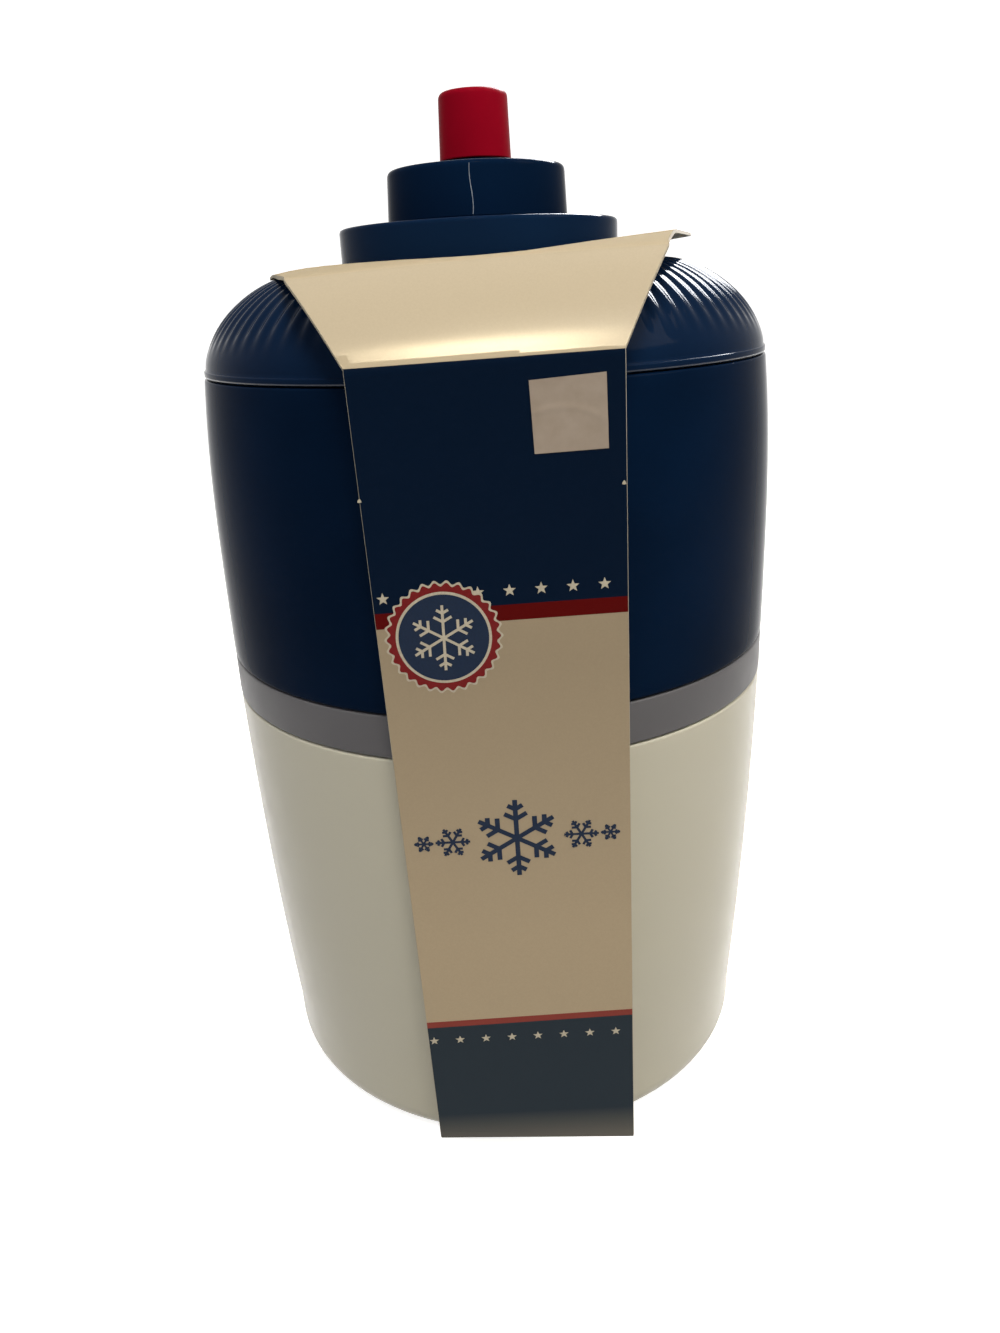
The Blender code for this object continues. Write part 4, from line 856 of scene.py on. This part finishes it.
def makePrint():
    cream, red, navy = range(3)
    bm = bmesh.new()
    for row, size in (("upperStars", "upperStar"), ("lowerStars", "lowerStar")):
        left, right, leftHeight, rightHeight = artwork[row]
        for index in range(artwork["stars"]):
            share = index / (artwork["stars"] - 1)
            middle = (left + (right - left) * share, leftHeight + (rightHeight - leftHeight) * share)
            addShape(bm, starOutline(artwork[size]), middle, 1, cream, artwork["tilt"])
    middle, radius = artwork["rosette"], artwork["rosetteRadius"]
    for layer, (border, colour) in enumerate(((artwork["rosetteBorder"], cream), (0.0, red)), 2):
        scalloped = discOutline(radius + border, artwork["scallops"], artwork["scallopDepth"], 360)
        addShape(bm, scalloped, middle, layer, colour)
    addShape(bm, discOutline(radius * 0.87), middle, 4, cream)
    addShape(bm, discOutline(radius * 0.82), middle, 5, navy)
    addSnowflake(bm, radius * 0.62, 0.5, middle, 6, cream)
    middle = artwork["flake"]
    addSnowflake(bm, artwork["flakeRadius"], artwork["flakeStroke"], middle, 1, navy, artwork["tilt"])
    for side in (-1, 1):
        for away, size, stroke in artwork["smallFlakes"]:
            spot = (middle[0] + side * away, middle[1] + side * away * artwork["tilt"])
            addSnowflake(bm, size, stroke, spot, 1, navy, pi / 6)
    for spot in artwork["nicks"]:       # small white tears at the card's sides
        addShape(bm, starOutline(artwork["nick"], 3, 0.7), spot, 1, cream)
    makePiece("cardPrint", meshFrom(bm), [creamInk, redInk, navyInk], "lid")


# The crease is an arc, placed in shares of the label's width and height
label = {"corners": ((7.2, 169.2), (20.1, 170.0), (20.4, 157.5), (7.8, 157.1)), "lift": 0.12, "steps": 40,
         "arcMiddle": (0.35, -0.35), "arcRadius": 0.95, "creaseWidth": 0.05, "creaseLift": 0.22,
         "cornerFrom": 1.75, "cornerLift": 0.3, "skirt": 0.02}


# A blank label with a curved crease and lifting corners
def makeLabel(corners, lift, steps, arcMiddle, arcRadius, creaseWidth, creaseLift, cornerFrom, cornerLift,
              skirt):
    bm = bmesh.new()
    topLeft, topRight, lowRight, lowLeft = [Vector(corner) for corner in corners]
    shares = [step / steps for step in range(steps + 1)]
    lines = []
    for v in shares:
        line = []
        for u in shares:
            spot = lowLeft.lerp(lowRight, u).lerp(topLeft.lerp(topRight, u), v)
            arc = hypot(u - arcMiddle[0], v - arcMiddle[1]) - arcRadius
            crease = creaseLift * exp(-(arc / creaseWidth) ** 2)
            corner = cornerLift * max(0.0, u + v - cornerFrom) ** 2
            line.append(bm.verts.new((spot.x * mm, inFront(lift + crease + corner), spot.y * mm)))
        lines.append(line)
    fillGrid(bm, lines)
    edging = bmesh.ops.extrude_edge_only(bm, edges=[item for item in bm.edges if item.is_boundary])
    for item in edging["geom"]:
        if isinstance(item, bmesh.types.BMVert):
            item.co.y = inFront(skirt)
    bmesh.ops.recalc_face_normals(bm, faces=bm.faces)
    makePiece("blankLabel", meshFrom(bm), [satinFilm], "lid")


partingLine = {"across": -1.0, "width": 0.3, "proud": 0.08, "bow": 0.25, "rows": 24, "foot": 0.4,
               "shorter": 1.2, "profile": ((-0.5, 0.2), (-0.15, 0.0), (0.15, 0.0), (0.5, 0.2))}


# The mould's parting line up the front of the hub, slightly raised, in a pale colour that is a painted
# highlight
def makePartingLine(across, width, proud, bow, rows, foot, shorter, profile):
    bm = bmesh.new()
    lines = []
    for index in range(rows + 1):
        share = index / rows
        length = crank["top"] - crank["bottom"] - shorter
        height = crank["bottom"] + foot + length * share
        radius = crank["hub"] - crank["draft"] * share + proud
        middle = across + bow * cos(pi * (share - 0.2) * 1.6)
        wide = width * (0.7 + 0.3 * sin(pi * share))
        line = []
        for side, drop in profile:
            x = middle + wide * side
            line.append(bm.verts.new((x * mm, -sqrt((radius - drop) ** 2 - x * x) * mm, height * mm)))
        lines.append(line)
    fillGrid(bm, lines)
    makePiece("partingLine", meshFrom(bm), [stressedAbs], "crank")


def smoothShadingNodes():
    tree = bpy.data.node_groups.new("smooth by angle", "GeometryNodeTree")
    for direction in ("INPUT", "OUTPUT"):
        tree.interface.new_socket("Geometry", in_out=direction, socket_type="NodeSocketGeometry")
    add = partial(addNode, tree)
    start = add("NodeGroupInput")
    faces = add("GeometryNodeSetShadeSmooth", {"Geometry": start})
    angle = add("GeometryNodeInputMeshEdgeAngle").outputs["Unsigned Angle"]
    sharper = add("FunctionNodeCompare", {"B": sharpAngle, "A": angle})
    edges = add("GeometryNodeSetShadeSmooth", {
        "domain": "EDGE", "Shade Smooth": False, "Geometry": faces, "Selection": sharper})
    add("NodeGroupOutput", {"Geometry": edges})
    return tree


# Small pieces of the model that are right as they are, with the width of their broken edges
innerPieces = {
    "shaving_blade": (bladeSteel, 0.08), "blade_clamp": (bladeSteel, 0.2), "spike_plate": (bladeSteel, 0.1),
    "crank_shaft": (platedSteel, 0.25), "crank_screw": (platedSteel, 0.15), "knob_pin": (platedSteel, 0.2),
    "retaining_clip": (platedSteel, 0.1), "spring_cup": (platedSteel, 0.12),
    "shaft_bush": (naturalNylon, 0.2), "thrust_washer": (naturalNylon, 0.15),
    **{f"{kind}_screw_{number}": (platedSteel, 0.1)
       for kind, count in (("blade", 2), ("carrier", 3), ("turret", 3)) for number in range(1, count + 1)}}


def dressInnerPieces():
    shading = smoothShadingNodes()
    for name, (material, bevel) in innerPieces.items():
        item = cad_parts[name]
        item.data.materials.clear()
        item.data.materials.append(material)
        addModifier(item, "weld", "WELD", merge_threshold=0.001 * mm)
        addModifier(item, "broken edges", "BEVEL", width=bevel * mm, segments=2, limit_method="ANGLE",
                    angle_limit=sharpAngle)
        addModifier(item, "smooth by angle", "NODES", node_group=shading)


makeCup(**cup)
makeCarrier(**carrier)
makeHousing(**housing)
makeChamber(**chamber)
print("body shells made")
makeLid(**lid)
makeTurret(**turret)
print("lid made")
makeCrank(**crank)
makeKnob(**knob)
makePusher(**pusher)
makePartingLine(**partingLine)
print("crank, knob and pusher made")
makeSleeve()
makePrint()
makeLabel(**label)
print("card sleeve made")
dressInnerPieces()


# Floor and backdrop: pale paper that stays white to the camera and in reflections, and keeps the shadow
studio = {"bounce": "#9c9a95", "paper": ("#f1f0ed", "#f7f6f4"), "toothSize": 4, "glow": 0.78,
          "skyLow": 0.21, "skyHigh": 0.5, "front": -4.0, "bendStart": 1.2, "bend": 0.8, "bendSteps": 16,
          "height": 4.0, "half": 5.0, "drop": 0.0002}       # lengths in metres


# One where the camera sees something, straight or through gloss and clear plastic, and zero for other light
def seenDirectly(add):
    path = add("LightPath").outputs
    direct = add("Math", {"operation": "MAXIMUM", 0: path["Is Camera Ray"], 1: path["Is Glossy Ray"]})
    return add("Math", {"operation": "MAXIMUM", 0: direct, 1: path["Is Transmission Ray"]})


def palePaper(name):
    material, add, shader, place = newMaterial(name)
    seen = seenDirectly(add)
    tooth = add("TexNoise", {"Scale": perMm(studio["toothSize"]), "Detail": 3.0, "Vector": place})
    paper = add("ValToRGB", {"Fac": tooth})
    setStops(paper, ((0.0, studio["paper"][0]), (1.0, studio["paper"][1])))
    mix = add("Mix", {"data_type": "RGBA", "A": linearColour(studio["bounce"]), "Factor": seen, "B": paper})
    glow = add("Math", {"operation": "MULTIPLY", 1: studio["glow"], 0: seen})
    add(shader, {
        "Emission Color": (1.0, 1.0, 1.0, 1.0), "Roughness": 0.9, "Specular IOR Level": 0.1, "Base Color": mix,
        "Emission Strength": glow})
    return material


def makeFloor():
    start, bend = studio["bendStart"], studio["bend"]
    angles = [pi / 2 * step / studio["bendSteps"] for step in range(studio["bendSteps"] + 1)]
    profile = [(studio["front"], 0.0),
               *[(start + bend * sin(angle), bend * (1 - cos(angle))) for angle in angles],
               (start + bend, studio["height"])]
    bm = bmesh.new()
    fillGrid(bm, [[bm.verts.new((side * studio["half"], y, z - studio["drop"])) for side in (-1, 1)]
                  for y, z in profile])
    mesh = meshFrom(bm)
    mesh.shade_smooth()
    mesh.materials.append(palePaper("pale backdrop paper"))
    addObject("studioFloor", mesh)


def makeWorld():
    world = bpy.data.worlds.new("studio")
    world.use_nodes = True
    bpy.context.scene.world = world
    world.node_tree.nodes.clear()
    add = partial(addNode, world.node_tree)
    place = add("TexCoord").outputs["Generated"]
    axes = add("SeparateXYZ", {"Vector": place}).outputs
    rise = add("MapRange", {
        "From Min": -0.1, "From Max": 0.9, "To Min": studio["skyLow"], "To Max": studio["skyHigh"],
        "Value": axes["Z"]})
    level = add("Mix", {"B": 1.0, "Factor": seenDirectly(add), "A": rise})
    sky = add("Background", {"Color": (1.0, 1.0, 1.0, 1.0), "Strength": level})
    add("OutputWorld", {"Surface": sky})


# Places and sizes in metres. A lamp with diffuse off only shows in gloss, as a window across the room does.
lamps = {
    "key": {"place": (0.08, -0.52, 1.0), "size": (0.3, 0.25), "power": 6.2, "colour": "#fff9f0",
            "gloss": False},
    "side": {"place": (0.75, -0.25, 0.8), "size": (0.4, 0.5), "power": 3.6, "colour": "#fff9f0"},
    "fill": {"place": (-0.9, -0.8, 0.6), "size": (0.6, 0.6), "power": 1.4, "colour": "#f4f6ff", "gloss": False},
    "glint": {"place": (-0.03, -0.6, 1.04), "size": (0.24, 0.08), "power": 3.2, "colour": "#ffecc4",
              "diffuse": False},
    "window": {"place": (0.46, 0.8, 0.9), "size": (0.6, 0.42), "power": 58.0, "colour": "#f8faff",
               "diffuse": False}}
lampTarget = Vector((0.0, 0.0, 0.12))


def makeLamps():
    for name, lamp in lamps.items():
        light = bpy.data.lights.new(name, "AREA")
        light.shape = "RECTANGLE"
        light.size, light.size_y = lamp["size"]
        light.energy = lamp["power"]
        light.color = linearColour(lamp["colour"])[:3]
        item = addObject(name, light)
        item.location = lamp["place"]
        item.visible_glossy = lamp.get("gloss", True)
        item.visible_diffuse = lamp.get("diffuse", True)
        item.rotation_euler = (lampTarget - item.location).to_track_quat("-Z", "Y").to_euler()


# The photograph's viewpoint, in metres and degrees
view = {"place": (0.0004, -0.2363, 0.1834), "yaw": 0.075, "down": 20.575, "roll": -2.773, "lens": 27.07}


def makeCamera():
    data = bpy.data.cameras.new("photoView")
    data.lens = view["lens"]
    data.sensor_width = 36.0
    data.clip_start = 0.01
    yaw, down, roll = [radians(view[key]) for key in ("yaw", "down", "roll")]
    forward = Vector((-sin(yaw) * cos(down), cos(yaw) * cos(down), -sin(down)))
    right = Vector((cos(yaw), sin(yaw), 0.0))
    up = right.cross(forward)
    across = cos(roll) * right + sin(roll) * up
    upward = -sin(roll) * right + cos(roll) * up
    turn = Matrix((across, upward, -forward)).transposed().to_4x4()
    camera = addObject("photoView", data)
    camera.matrix_world = Matrix.Translation(view["place"]) @ turn
    bpy.context.scene.camera = camera


makeFloor()
makeWorld()
makeLamps()
makeCamera()
bpy.context.scene.view_settings.view_transform = "Standard"
print("studio and camera made")
